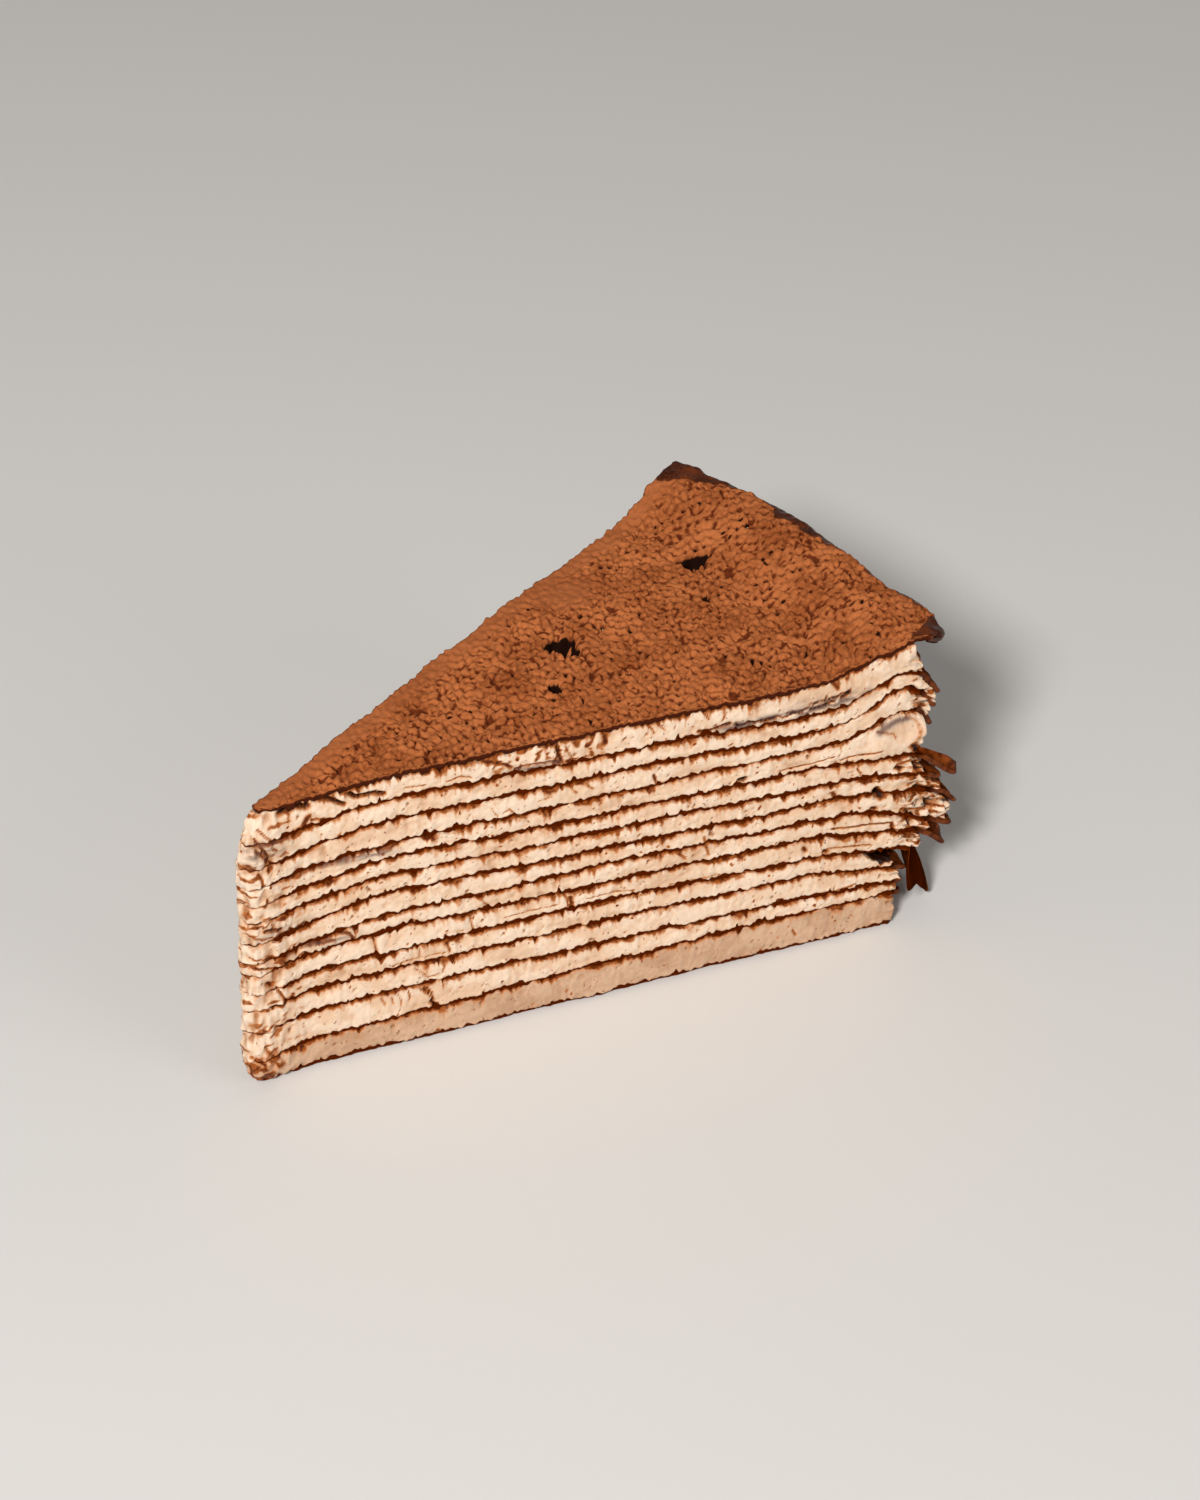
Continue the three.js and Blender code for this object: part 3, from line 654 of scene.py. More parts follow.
    (0.45, 0.8, 1.7, [99.8, 30.2, 100.4, 28.9]), (0.5, 0.8, 1.7, [101.3, 29.9, 102, 28.9]),
    (0.55, 0.7, 1.7, [93.9, 26.6, 94.9, 25.2]), (0.3, 0.4, 1.4, [100.6, 25.8, 102.4, 24.6]),
    (0.26, 0.3, 1.3, [97, 19.7, 97.2, 18.8]), (0.3, 0.4, 1.4, [102.2, 22.5, 103.4, 21.2]),
    (0.26, 0.4, 1.3, [98.5, 21.9, 100.2, 21.6, 101.8, 21.1]),
]
# Each pit: distance, height, half its width, half its height, depth.
PITS = [(72.4, 34.4, 0.75, 0.5, 1.4), (94.2, 25.7, 0.5, 0.5, 1.2)]
FAR = 9.0


def far_from(line, u, v):
    """How far places on the cut face are from a line of places, but at most FAR."""
    places = np.reshape(line, (-1, 2))
    far = np.full(u.shape, FAR)
    for (u0, v0), (u1, v1) in zip(places[:-1], places[1:]):
        along = (u - u0) * (u1 - u0) + (v - v0) * (v1 - v0)
        share = np.clip(along / ((u1 - u0) ** 2 + (v1 - v0) ** 2), 0, 1)
        far = np.minimum(far, np.hypot(u - mix(u0, u1, share), v - mix(v0, v1, share)))
    return far


def stroke_marks(distance, z):
    """Depth and brownness of the knife's marks at places on the front cut face."""
    depth, brown = np.zeros_like(distance), np.zeros_like(distance)
    for width, deep, tint, line in STROKES:
        along, up, reach = line[::2], line[1::2], 3 * width
        near = (distance > min(along) - reach) & (distance < max(along) + reach)
        near &= (z > min(up) - reach) & (z < max(up) + reach)
        soft = np.exp(-((far_from(line, distance[near], z[near]) / width) ** 2))
        depth[near] += deep * soft
        brown[near] = np.maximum(brown[near], tint * soft)
    return depth, brown


def pit_depth(distance, z):
    """Depth of the round pits on the front cut face."""
    return sum(deep * np.exp(-((((distance - place) / wide) ** 2 + ((z - height) / tall) ** 2) ** 2))
               for place, height, wide, tall, deep in PITS)


print(len(STROKES), "strokes and", len(PITS), "pits")

# %% [markdown]
# The knife also squeezes the cream a little out of the cut and drags it along, so its face is never flat.
# That relief is real in the mesh, about a quarter of a millimetre deep. It adds noise of several sizes to
# the knife's marks, and is strongest at the tip and at the torn corner.

# %% Relief of the cut cream
def on_front(x, y):
    """Distance along the front cut face, and where a point is on it. The nose counts as part of it."""
    front = (y < 0) & (y < -0.93 * np.maximum(x, 0) * math.tan(HALF))
    return x * math.cos(HALF) - y * math.sin(HALF), front


def cream_relief(x, y, z):
    """How far the cut cream stands out, in millimetres."""
    at = points_at(x, y, z)
    distance, angle = polar(x, y)
    out = 0.16 * noise(at, (8, 8, 4), 31) + 0.1 * noise(at, (2.6, 2.6, 1.6), 32)
    out += 0.08 * noise(at, (1.1, 1.1, 0.8), 33) + 0.05 * noise(at, 0.55, 34)
    out += 0.14 * noise(at, (0.8, 0.8, 2.6), 35) * ease(noise(at, 5, 36), -0.3, 0.3)
    out -= 0.5 * ease(noise(at, 0.8, 37), 0.72, 0.9)
    tip = 1 - ease(distance, 2, 8)
    out += tip * (0.35 * noise(at, (2.0, 2.0, 3.4), 38) + 0.3 * noise(at, (0.8, 0.8, 1.8), 39))
    out += tip * (1 - ease(z, 5, 8)) * (0.1 + 0.5 * noise(at, 1.3, 40))
    out -= tip * (1 - ease(z, 0, 2.4)) * 0.8
    rough = 0.5 * noise(at, (2.4, 2.4, 1.5), 41) + 0.25 * noise(at, (0.9, 0.9, 0.7), 42)
    out += messy(distance, angle) * rough
    along, front = on_front(x, y)
    depth = np.zeros_like(out)
    depth[front] = stroke_marks(along[front], z[front])[0]
    return out - depth - front * pit_depth(along, z)


trial = np.linspace(5, 95, 500)
relief = cream_relief(trial * math.cos(HALF), -trial * math.sin(HALF), np.full(500, 12.0))
print("relief, mm: from", relief.min().round(2), "to", relief.max().round(2))

# %% [markdown]
# The outside of a layer of cream is a grid, with a row of points at each height and a point in it for each
# column of the outline. The rows are close together at the two lips, where the cream curls over the
# crepes' edges. At the rim the cream stays a little behind the crepes. At the torn corner it reaches as
# far as its row says, and in one layer it has sunk away from the crepe over it.

# %% The grid of a layer of cream
# Distances of the first rows from a crepe, and the thickness of cream below which they move together.
LIP, THIN_CREAM = np.array([0, 0.07, 0.18, 0.4]), 2.2
ROW_HEIGHT, FEWEST_ROWS = 0.36, 8
# One layer ends in a swirl, with more rows, and one has sunk. The swirl goes so many columns round the rim.
SWIRL_CREAM, SWIRL_ROWS, SWIRL_COLUMNS = 9, 18, 50
SUNKEN_CREAM = 3
# The knife's marks go this many columns round the corner.
CORNER_COLUMNS = 12


def rim_out_of(cream, crepe):
    """How far the cream of a layer reaches at the rim, past the radius of the crepe under or over it."""
    at = points_at(*(CAKE_RADIUS * RIM_SIDE), 8.0 * cream)
    usual = -0.5 + 0.3 * noise(at, 7, 51) + 0.2 * noise(at, 2, 52)
    end = TORN[cream][2] + 0.5 * noise(at, 1.4, 50) - (2.4 if cream == crepe - 1 == TOP - 1 else 0)
    return mix(usual, end - rim_radius(crepe, RIM_ANGLE), 1 - ease(FROM_CUT, 7, 12))


def void_over(cream, x, y):
    """In one place at the torn corner the cream has sunk away from the crepe over it."""
    distance, angle = polar(x, y)
    if cream != SUNKEN_CREAM:
        return np.zeros_like(distance)
    depth = 2.0 + 0.5 * noise(points_at(x, y), 1.5, 49)
    return depth * ease(distance, 91.5, 96) * (1 - ease(from_cut(angle), 7, 12))


class CreamCut:
    """The grid of a layer of cream, before any relief, with what is measured at each of its points."""

    def __init__(self, cream):
        self.cream = cream
        self.levels = [Outline(crepe, rim_out_of(cream, crepe)) for crepe in (cream, cream + 1)]
        low_x, low_y = self.levels[0].shifted(0)
        high_x, high_y = self.levels[1].shifted(0)
        bottom = crepe_faces(cream, low_x, low_y)[1]
        top = crepe_faces(cream + 1, high_x, high_y)[0] - void_over(cream, high_x, high_y)
        tall = top - bottom
        fit = np.minimum(1, tall / THIN_CREAM)
        count = max(FEWEST_ROWS, int(np.median(tall) / ROW_HEIGHT))
        if cream == SWIRL_CREAM:
            count = SWIRL_ROWS
        first, last = bottom + LIP[-1] * fit, top - LIP[-1] * fit
        body = [mix(first, last, k / (count + 1)) for k in range(1, count + 1)]
        self.z = np.stack([bottom + lip * fit for lip in LIP] + body + [top - lip * fit for lip in LIP[::-1]])
        self.share = (self.z - bottom) / tall
        self.x, self.y = mix(low_x, high_x, self.share), mix(low_y, high_y, self.share)
        self.points = points_at(self.x, self.y, self.z)
        self.over, self.under = self.z - bottom, top - self.z
        self.distance, self.angle = polar(self.x, self.y)
        self.along, front = on_front(self.x, self.y)
        column = np.arange(COLUMNS)
        front = front & (column < FRONT_STEPS + CORNER_COLUMNS)
        self.front = front | (column > COLUMNS - TIP_STEPS // 2)
        self.swirl = np.zeros(self.z.shape)
        if cream == SWIRL_CREAM:
            swirl = ease(self.along, 91.5, 94) * (column < FRONT_STEPS + SWIRL_COLUMNS)
            self.swirl = swirl * (1 - ease(self.along, 98.8, 100) * (1 - ease(self.z, 34, 35.5)))

    def noise(self, size, seed):
        return noise(self.points, size, seed)


trial = CreamCut(6)
print("grid of cream 6:", trial.z.shape, " past crepe 6 at the rim, mm:", rim_out_of(6, 6)[::30].round(1))

# %% [markdown]
# The relief and the lips move the points of the grid out and in. Near the torn corner one layer was pressed
# out as a smooth swirl with fine arcs round a centre, so there the usual relief is blended away.

# %% The form of a layer of cream
BULGE = 0.16
# The arcs on the swirl run round this place on the front cut face: distance and height.
ARCS_ROUND = (94.2, 36.6)


def cream_shape(cut):
    """How far out each point lies, and the relief alone, which is low in every dip, where the finish paints
    shade, and high where it paints highlight.
    """
    relief = cream_relief(cut.x, cut.y, cut.z)
    relief += on_rim * (0.25 * cut.noise((2.2, 2.2, 1.5), 53) + 0.12 * cut.noise(0.9, 54))
    curl = 0.1 + 0.22 * cut.noise((1.1, 1.1, 3), 55)
    out = relief + BULGE * np.sin(np.pi * cut.share) + curl * np.exp(-(((cut.over - 0.2) / 0.2) ** 2))
    out += 0.5 * curl * np.exp(-(((cut.under - 0.25) / 0.25) ** 2))
    out -= 0.4 * (1 - ease(cut.over, 0, 0.14)) + 0.3 * (1 - ease(cut.under, 0, 0.12))
    if cut.cream != SWIRL_CREAM:
        return out, relief
    turn = np.hypot(cut.along - ARCS_ROUND[0], cut.z - ARCS_ROUND[1])
    arcs = 0.07 * np.sin(4.6 * turn + 0.8) * ease(turn, 2.2, 3.6)
    arcs = arcs * ease(cut.along, 95.6, 97.5) * ease(cut.z, 33.2, 35.5)
    arcs -= 0.6 * np.exp(-((((cut.along - 97.2) / 2.2) ** 2 + ((cut.z - 37) / 1.9) ** 2) ** 2))
    smooth = 0.7 * np.sin(np.pi * cut.share) ** 0.7 - 0.4 * (1 - ease(cut.over, 0, 0.2)) + arcs
    return mix(out, smooth, cut.swirl), mix(relief, 0.25 * arcs, cut.swirl)


print("cream 6 stands out by up to", cream_shape(trial)[0].max().round(2), "mm")

# %% [markdown]
# The finish needs to know more than the form: how much brown crepe the knife has rubbed into the cream,
# which is most just below each crepe, and where it left grey or nearly black smears. It also needs where to
# paint shade, in the dips of the relief, in pits, in a crescent on the swirl, under the void and at the torn
# corner, and where to paint highlight, on the rises. These marks are worked out here and stored on the mesh,
# as values at its points.

# %% The marks on a layer of cream
# Grey smears on the front cut face: from and to distance, height, half height.
SMEARS = [
    (1, 4, 42.0, 2.0), (2, 8, 27.3, 0.8), (70, 88, 44.4, 0.7), (36, 44, 45.0, 0.6), (8, 20, 36.2, 0.7),
    (5, 14, 22.6, 0.8), (66, 80, 43.9, 0.4), (70, 80, 44.5, 0.5), (79, 91, 45.1, 1.0),
]
# The painted shade in the bowl of the swirl, a grey crescent, as a line of places.
SHADE_CRESCENT = [93.4, 37.5, 94.6, 38.3, 96, 38.9, 97.6, 38.7]


def rubbed_crepe(cut, brown, mess):
    """How much brown crepe is rubbed into the cream. brown is what the strokes give."""
    streak = np.maximum(0.8 * cut.noise((0.5, 0.5, 30), 56) + 0.7 * cut.noise((1.6, 1.6, 30), 66), 0)
    rubbed = np.exp(-cut.under / (0.24 + (2.0 if cut.cream == TOP - 1 else 0.9) * streak))
    rubbed = rubbed * (0.75 + 0.9 * cut.noise((2.5, 2.5, 3), 57)) * mix(0.5, 1, ease(cut.distance, 2, 7))
    thin_streak = np.maximum(cut.noise((0.7, 0.7, 30), 67), 0)
    stain = rubbed + 0.6 * np.exp(-cut.over / (0.14 + 0.35 * thin_streak))
    stain += 0.8 * ease(cut.noise(0.8, 58), 0.72, 0.85) + 0.35 * on_rim * ease(cut.noise(2.5, 59), 0, 0.6)
    tip_low = (1 - ease(cut.distance, 2, 8)) * (1 - ease(cut.z, 3, 8))
    stain += 0.9 * tip_low * ease(cut.noise(1.8, 60), -0.1, 0.4)
    stain += (1 - ease(cut.distance, 4, 9)) * 0.7 * ease(cut.noise((2.5, 2.5, 0.9), 61), 0.2, 0.5)
    stain += mess * ease(cut.noise((1.5, 1.5, 0.5), 64) + 0.4 * cut.noise(0.7, 63), 0.12, 0.34)
    if cut.cream == TOP - 1:
        smudged = ease(cut.distance, 33, 37) * (1 - ease(cut.distance, 49, 52)) * at_front_cut(cut.angle)
        smudge = cut.noise((0.9, 0.9, 1.6), 69) + 0.5 * cut.noise((2, 2, 0.5), 70)
        stain += 0.9 * smudged * ease(smudge, 0, 0.45)
    return mix(stain + brown, brown, 0.9 * cut.swirl * ease(cut.under, 0.3, 0.9))


def grey_smears_and_shade(cut):
    grey_smear_and_shade = np.zeros_like(cut.z)
    for start, end, height, half in SMEARS:
        here = ease(cut.distance, start - 3, start + 2) * (1 - ease(cut.distance, end - 2, end + 3))
        grey_smear_and_shade += here * np.exp(-(((cut.z - height) / half) ** 2))
    grey_smear_and_shade = grey_smear_and_shade * at_front_cut(cut.angle) * (0.5 + 0.9 * cut.noise((2.5, 2.5, 0.5), 62))
    # The smears are real grey smears; the crescent on the swirl is painted shade in its bowl.
    return grey_smear_and_shade + 1.2 * cut.swirl * np.exp(-((far_from(SHADE_CRESCENT, cut.along, cut.z) / 0.6) ** 2))


def nearly_black(cut, brown, mess):
    """Where the cream is nearly black: crumbs and painted shade in deep strokes, painted shade in pits, under
    voids and at the torn corner.
    """
    dark = ease(brown, 0.9, 1.4) + 0.95 * mess * ease(cut.noise((1.5, 1.5, 0.45), 65), 0.22, 0.36)
    dark = dark + ease(void_over(cut.cream, cut.x, cut.y), 0.6, 1.5) * ease(cut.share, 0.7, 0.95)
    dark = dark + cut.front * ease(pit_depth(cut.along, cut.z), 0.35, 0.8)
    if 0 < cut.cream < 4:
        along_rim = from_cut(cut.angle)
        dark = dark + on_rim * ease(along_rim, 0.6, 2) * (1 - ease(along_rim, 9, 13))
    return dark


def cream_marks(cut, relief):
    brown = np.zeros_like(cut.z)
    brown[cut.front] = stroke_marks(cut.along[cut.front], cut.z[cut.front])[1]
    mess = messy(cut.distance, cut.angle) * (0.25 if cut.cream == SWIRL_CREAM else 1)
    return {
        "stain": np.clip(rubbed_crepe(cut, brown, mess), 0, 1), "grey_smear_and_shade": np.clip(grey_smears_and_shade(cut), 0, 1),
        "dark": np.clip(nearly_black(cut, brown, mess), 0, 1), "hollow_shade": np.clip(-relief, -0.5, 1),
    }


trial_marks = cream_marks(trial, cream_shape(trial)[1])
print("marks on cream 6, greatest:", {name: float(mark.max().round(2)) for name, mark in trial_marks.items()})

# %% [markdown]
# Now the rows of a layer become rings, each moved out by the relief. The two hidden faces lie on the crepe
# below and under the crepe above, and the last layer's upper face also has the pits under the holes.

# %% Build a layer of cream
# How far inside the outline a hidden face starts, and the spacing and inset of a fine face that is hidden.
INNER = 1.3
HIDDEN_SPACING, HIDDEN_INSET = 0.8, 1.4


def cream_layer(cream):
    skin, cut = Skin(), CreamCut(cream)
    out, relief = cream_shape(cut)
    marks = cream_marks(cut, relief)
    rows = []
    for row, share in enumerate(cut.share):
        (x0, y0), (x1, y1) = (level.shifted(out[row]) for level in cut.levels)
        here = {name: value[row] for name, value in marks.items()}
        rows.append(skin.ring(mix(x0, x1, share), mix(y0, y1, share), cut.z[row], **here))
    for a, b in zip(rows[:-1], rows[1:]):
        skin.strip(a, b)

    def under(x, y):
        return crepe_faces(cream, x, y, inside=True)[1]

    def over(x, y):
        return crepe_faces(cream + 1, x, y, inside=True)[0] - void_over(cream, x, y)

    def over_with_holes(x, y):
        return over(x, y) - hole_depth(x, y, HOLE_IN_CREAM, HOLE_WIDER)

    # The hidden faces of the cream are painted nearly black, as shade.
    x, y = cut.levels[0].shifted(-INNER)
    ring = skin.ring(x, y, under(x, y), dark=1)
    skin.strip(ring, rows[0])
    middle_of_face(skin, ring, x, y, under, upper=False)
    x, y = cut.levels[1].shifted(-INNER)
    ring = skin.ring(x, y, over(x, y), dark=1)
    skin.strip(rows[-1], ring)
    if cream == TOP - 1:
        fine_face(skin, ring, cut.levels[1], over_with_holes, HIDDEN_SPACING, HIDDEN_INSET)
    else:
        middle_of_face(skin, ring, x, y, over, upper=True)
    return skin


print("a layer of cream has", cream_layer(6).count, "points")

# %% [markdown]
# ## The crepes
#
# A crepe is a thin brown sheet. At the two cut faces only its edge shows, as a dark ragged line that lies
# a little behind the cream. At the rim it reaches past the cream, thins out and droops. At the front corner
# the sheets are torn and hang like fingers. So a crepe gets a few rows over its thickness at the cuts
# and a longer drooping flap at the rim.

# %% How far a crepe reaches out and hangs at the rim
def flap_size(crepe):
    """How far a crepe reaches out of the rim and hangs down, for each column of the rim."""
    at = points_at(*(CAKE_RADIUS * RIM_SIDE), 7.0 * crepe)
    steps = [mix(*EDGE_OUT, draw(crepe + 40, step)) for step in range(len(RIM_AT))]
    usual = np.interp(RIM_ANGLE, RIM_AT, steps) * (1 + 0.35 * noise(at, 3, 71) + 0.2 * noise(at, 1, 72))
    radius = rim_radius(crepe, RIM_ANGLE)
    if crepe == TOP:
        degrees = np.degrees(RIM_ANGLE)
        places, radii, drops = TOP_RIM.T
        reach = rounded(degrees, places, radii, by=0.3)
        out = np.maximum(reach - radius + 0.2 * noise(at, 1.5, 74), 0.4)
        down = rounded(degrees, places, drops, by=0.3)
    else:
        torn_wide = TORN[crepe][1]
        blunt = 1 - ease(FROM_CUT, 0.95 * torn_wide, 1.35 * torn_wide)
        out = mix(usual, TORN[crepe][3][-2] - radius + 0.5 * noise(at, 1.1, 73), blunt)
        room = 0
        if crepe > 0:
            x, y = radius * RIM_SIDE
            room = EDGE_DOWN_SHARE * (crepe_height(crepe, x, y) - crepe_height(crepe - 1, x, y) - 0.6)
        share = torn(crepe, RIM_ANGLE)
        down = mix(np.minimum(usual, room), CURTAIN_DROP if crepe == CURTAIN else 0, share)
        if crepe == CURTAIN:
            out = out * mix(0.12, 1, ease(FROM_CUT, 0, 3.6))
            down = down * (1 + 0.25 * noise(at, 1.6, 75) * share)
    from_either_cut = np.minimum(FROM_CUT, CAKE_RADIUS * 2 * HALF - FROM_CUT)
    round_end = (1 - np.clip(from_either_cut / 0.6, 0, 1)) ** 2.2
    return out * (1 - round_end), down * (1 - 0.5 * round_end)


print("flap of crepe 5, mm:", [(side.min().round(1), side.max().round(1)) for side in flap_size(5)])

# %% [markdown]
# A flap leaves the slice level and turns down more and more towards its edge, which is why its drop grows
# with a power of the way out. Small waves along the rim keep it from looking pressed. Its thickness is
# measured square to its slope, so that a steep flap is as thick as a level one.

# %% The line of a flap
class Flap:
    """A crepe's flap, for each column of the rim. Its share goes from 0 at the cream to 1 at the edge."""

    def __init__(self, crepe, level, x, y, middle):
        at = points_at(x, y, 5.0 * crepe)
        self.crepe, self.start = crepe, level.radius
        self.out, self.down = flap_size(crepe)
        self.lift = middle - crepe_height(crepe, x, y)
        self.torn = torn(crepe, RIM_ANGLE)
        self.wave = noise(at, 1.7, 84) * (0 < crepe < TOP)
        self.ripple = noise(at, 1.6, 83) * (crepe > 0)
        # Near the cut the curtain is painted as shade, and torn pieces are painted darker as shade.
        self.unshaded = ease(FROM_CUT, 1.5, 4) if crepe == CURTAIN else np.ones(RIM_STEPS)
        self.core = np.maximum(1.4 * (1 - self.unshaded), 0.5 * self.torn)

    def point(self, share):
        """Radius and height of the flap."""
        radius = self.start + self.out * share
        wave = 0.5 * self.torn * share * self.wave
        ripple = 0.12 * np.sin(np.pi * share) * self.ripple
        rise = self.lift - self.down * share**1.7 + ripple + wave
        return radius, crepe_height(self.crepe, *(radius * RIM_SIDE)) + rise

    def slope(self, share):
        """The flap's direction, as its part outwards and its part upwards."""
        (near, low), (far, high) = self.point(max(share - 0.04, 0)), self.point(share + 0.04)
        length = np.hypot(far - near, high - low)
        return (far - near) / length, (high - low) / length


level = Outline(5)
x, y = level.radius * RIM_SIDE
trial = Flap(5, level, x, y, crepe_height(5, x, y)).point(1)[1]
print("edge of crepe 5's flap, mm high: from", trial.min().round(1), "to", trial.max().round(1))

# %% [markdown]
# A crepe is put together from its lower face, its flap's underside, the rows over its edge, the flap's upper
# side and its upper face. At the cuts it has no flap, so there the edge joins the faces directly.

# %% Build a crepe
# How far behind a cut edge the faces start. Then the rows over the edge: height as a share of the
# thickness, and how far back. The top crepe's edge has more of them, because it is rolled.
EDGE_IN, TOP_EDGE_IN = 0.75, 0.14
EDGE_ROWS = ((-0.38, 0.12), (-0.08, 0), (0.34, 0.06))
ROLLED_ROWS = ((-0.46, 0.34), (-0.3, 0.1), (0, 0), (0.28, 0.08), (0.45, 0.3))
FLAP_ROWS, TOP_FLAP_ROWS = 9, 17
# The end of a flap is thinner than the crepe, but at the torn corner it is swollen by this share.
THIN_END, SWELL = 0.75, 0.7
# The columns that aren't on the rim, from the far cut face over the tip to the front one.
OTHERS = np.r_[BACK.start:COLUMNS, 0:FRONT_STEPS]


def edge_place(crepe, x, y, middle):
    """How far a crepe's cut edge stands out, and how much thicker its flap's end is at the torn corner."""
    at = points_at(x, y, 5.0 * crepe)
    edge = cream_relief(x, y, middle) - 0.1 + 0.1 * noise(at, 2.2, 81) + 0.08 * noise(at, 0.7, 82)
    if crepe == TOP:
        edge = 0.1 + 0.26 * noise(at, 2.6, 81) + 0.3 * noise(at, 0.8, 82)
    if crepe == 0:
        edge = edge - 0.9 * (1 - ease(np.hypot(x, y), 1, 5))
    torn_here = on_rim & (crepe > 0)
    swollen = 1 + np.where(torn_here, SWELL * (1 - ease(from_cut(np.arctan2(y, x)), 5, 11)), 0)
    return edge, swollen[RIM]


def flap_sides(skin, flap, tall, swollen, top_finish):
    """The rows of a flap's underside and of its upper side, from the cream to the edge."""
    lower, upper = [], []
    for share in np.linspace(0, 1, TOP_FLAP_ROWS if top_finish else FLAP_ROWS)[1:-1]:
        (radius, z), (outwards, upwards) = flap.point(share), flap.slope(share)
        half = mix(1, THIN_END, share) * tall * mix(1, swollen, share) / 2
        marks = {"hang": share * flap.unshaded, "core": flap.core}
        lower.append(skin.ring(*((radius + upwards * half) * RIM_SIDE), z - outwards * half, **marks))
        relief, place = 0, (radius - upwards * half) * RIM_SIDE
        if top_finish:
            relief, marks = browned(*place)[0], top_marks(*place)
        upper.append(skin.ring(*place, z + outwards * half + relief, **marks))
    return lower, upper


def edge_rows(skin, level, flap, edge, middle, tall, swollen, top_finish):
    """The rows over a crepe's edge, at the cuts and at the end of the flap."""
    rows = []
    hang, torn_core = np.zeros(COLUMNS), np.zeros(COLUMNS)
    hang[RIM], torn_core[RIM] = flap.unshaded, flap.core
    (radius, end_height), (outwards, upwards) = flap.point(1), flap.slope(1)
    for rise, back in ROLLED_ROWS if top_finish else EDGE_ROWS:
        x, y = level.shifted(edge - back)
        across, inward = rise * THIN_END * tall[RIM] * swollen, back * (0.5 + swollen)
        x[RIM], y[RIM] = (radius - upwards * across - outwards * inward) * RIM_SIDE
        z = middle + rise * tall
        z[RIM] = end_height + outwards * across - upwards * inward
        core = 1 - ease(rise, 0.0, 0.5) if top_finish else 1 - ease(-rise, 0.1, 0.38)
        rows.append(skin.ring(x, y, z, hang=hang, bare=on_rim * 1.0, core=np.where(on_rim, torn_core, core)))
    return rows


def join_sides(skin, lower, upper, edges, flap_low, flap_high):
    """The triangles from the lower face over the flap and the edge to the upper face."""
    skin.strip(lower[OTHERS], edges[0][OTHERS], closed=False)
    skin.strip(edges[-1][OTHERS], upper[OTHERS], closed=False)
    under = [lower[RIM], *flap_low, edges[0][RIM]]
    over = [edges[-1][RIM], *flap_high[::-1], upper[RIM]]
    for line in (under, over):
        for a, b in zip(line[:-1], line[1:]):
            skin.strip(a, b, closed=False)
    for a, b in zip(edges[:-1], edges[1:]):
        skin.strip(a, b)
    before, after = FRONT_STEPS - 1, BACK.start
    for line, ends in ((under, (lower, edges[0])), (over, (edges[-1], upper))):
        skin.zip_lines([row[0] for row in line][::-1], [end[before] for end in ends][::-1])
        skin.zip_lines([end[after] for end in ends][::-1], [row[-1] for row in line][::-1])


def crepe_layer(crepe, top_finish=None):
    """One crepe. The top one also gets top_finish, which builds its upper face."""
    skin, level = Skin(), Outline(crepe)
    x, y = level.shifted(0)
    low, high = crepe_faces(crepe, x, y)
    plain_low, plain_high = crepe_faces(crepe, x, y, inside=True)
    low[RIM], high[RIM] = plain_low[RIM], plain_high[RIM]
    middle, tall = (low + high) / 2, high - low
    edge, swollen = edge_place(crepe, x, y, middle)
    flap = Flap(crepe, level, x[RIM], y[RIM], middle[RIM])
    inner = level.shifted(-INNER)

    def under(x, y):
        return crepe_faces(crepe, x, y, inside=True)[0]

    def over(x, y):
        return crepe_faces(crepe, x, y, inside=True)[1]

    def under_with_holes(x, y):
        return under(x, y) - hole_depth(x, y, HOLE_UNDER_TOP)

    # Faces inside the slice and just behind a cut edge are marked to be painted dark, as shade.
    bottom = skin.ring(*inner, under(*inner), core=2)
    lower = skin.ring(*level.shifted(np.where(on_rim, 0, edge - EDGE_IN)), low, core=1.5)
    skin.strip(bottom, lower)
    flap_low, flap_high = flap_sides(skin, flap, tall[RIM], swollen, top_finish)
    edges = edge_rows(skin, level, flap, edge, middle, tall, swollen, top_finish)
    brink = level.shifted(np.where(on_rim, 0, edge - (TOP_EDGE_IN if top_finish else EDGE_IN)))
    if top_finish:
        upper = skin.ring(*brink, top_face(*brink), **top_marks(*brink))
    else:
        upper = skin.ring(*brink, high, core=1.5)
    join_sides(skin, lower, upper, edges, flap_low, flap_high)

    if top_finish:
        fine_face(skin, bottom, level, under_with_holes, HIDDEN_SPACING, HIDDEN_INSET, upper=False)
        top_finish(skin, level, upper, np.where(on_rim, 0, edge))
    else:
        middle_of_face(skin, bottom, *inner, under, upper=False)
        ring = skin.ring(*inner, over(*inner), core=2)
        skin.strip(upper, ring)
        middle_of_face(skin, ring, *inner, over, upper=True)
    return skin


print("a crepe has", crepe_layer(5).count, "points")

# %% [markdown]
# ## The top of the slice
#
# The top crepe's upper side is its browned side, dusted and dried: short worm-like wrinkles about half
# a millimetre wide, deeper pits where they meet, smoother patches, and a dark bare shine at the rim
# where the dusting has come off. Waves of one length from all sides, added up, cancel along lines that bend
# and close on themselves. Those lines are the wrinkles, and a noise breaks them into short pieces.

# %% Waves for the wrinkles
WRINKLE = 1.9
GRAIN_TURN, GRAIN_STRETCH = math.radians(50.5), 1.6
GRAIN = (math.cos(GRAIN_TURN), math.sin(GRAIN_TURN))
WAVES = 28
wrinkles = np.random.default_rng(11)
WAVE_TURN = (np.arange(WAVES) + wrinkles.uniform(0, 1, WAVES)) * math.pi / WAVES
WAVE_START = wrinkles.uniform(0, 2 * math.pi, (2, WAVES))
WAVE_NUMBER = 2 * math.pi / (WRINKLE * wrinkles.uniform(0.8, 1.25, WAVES))


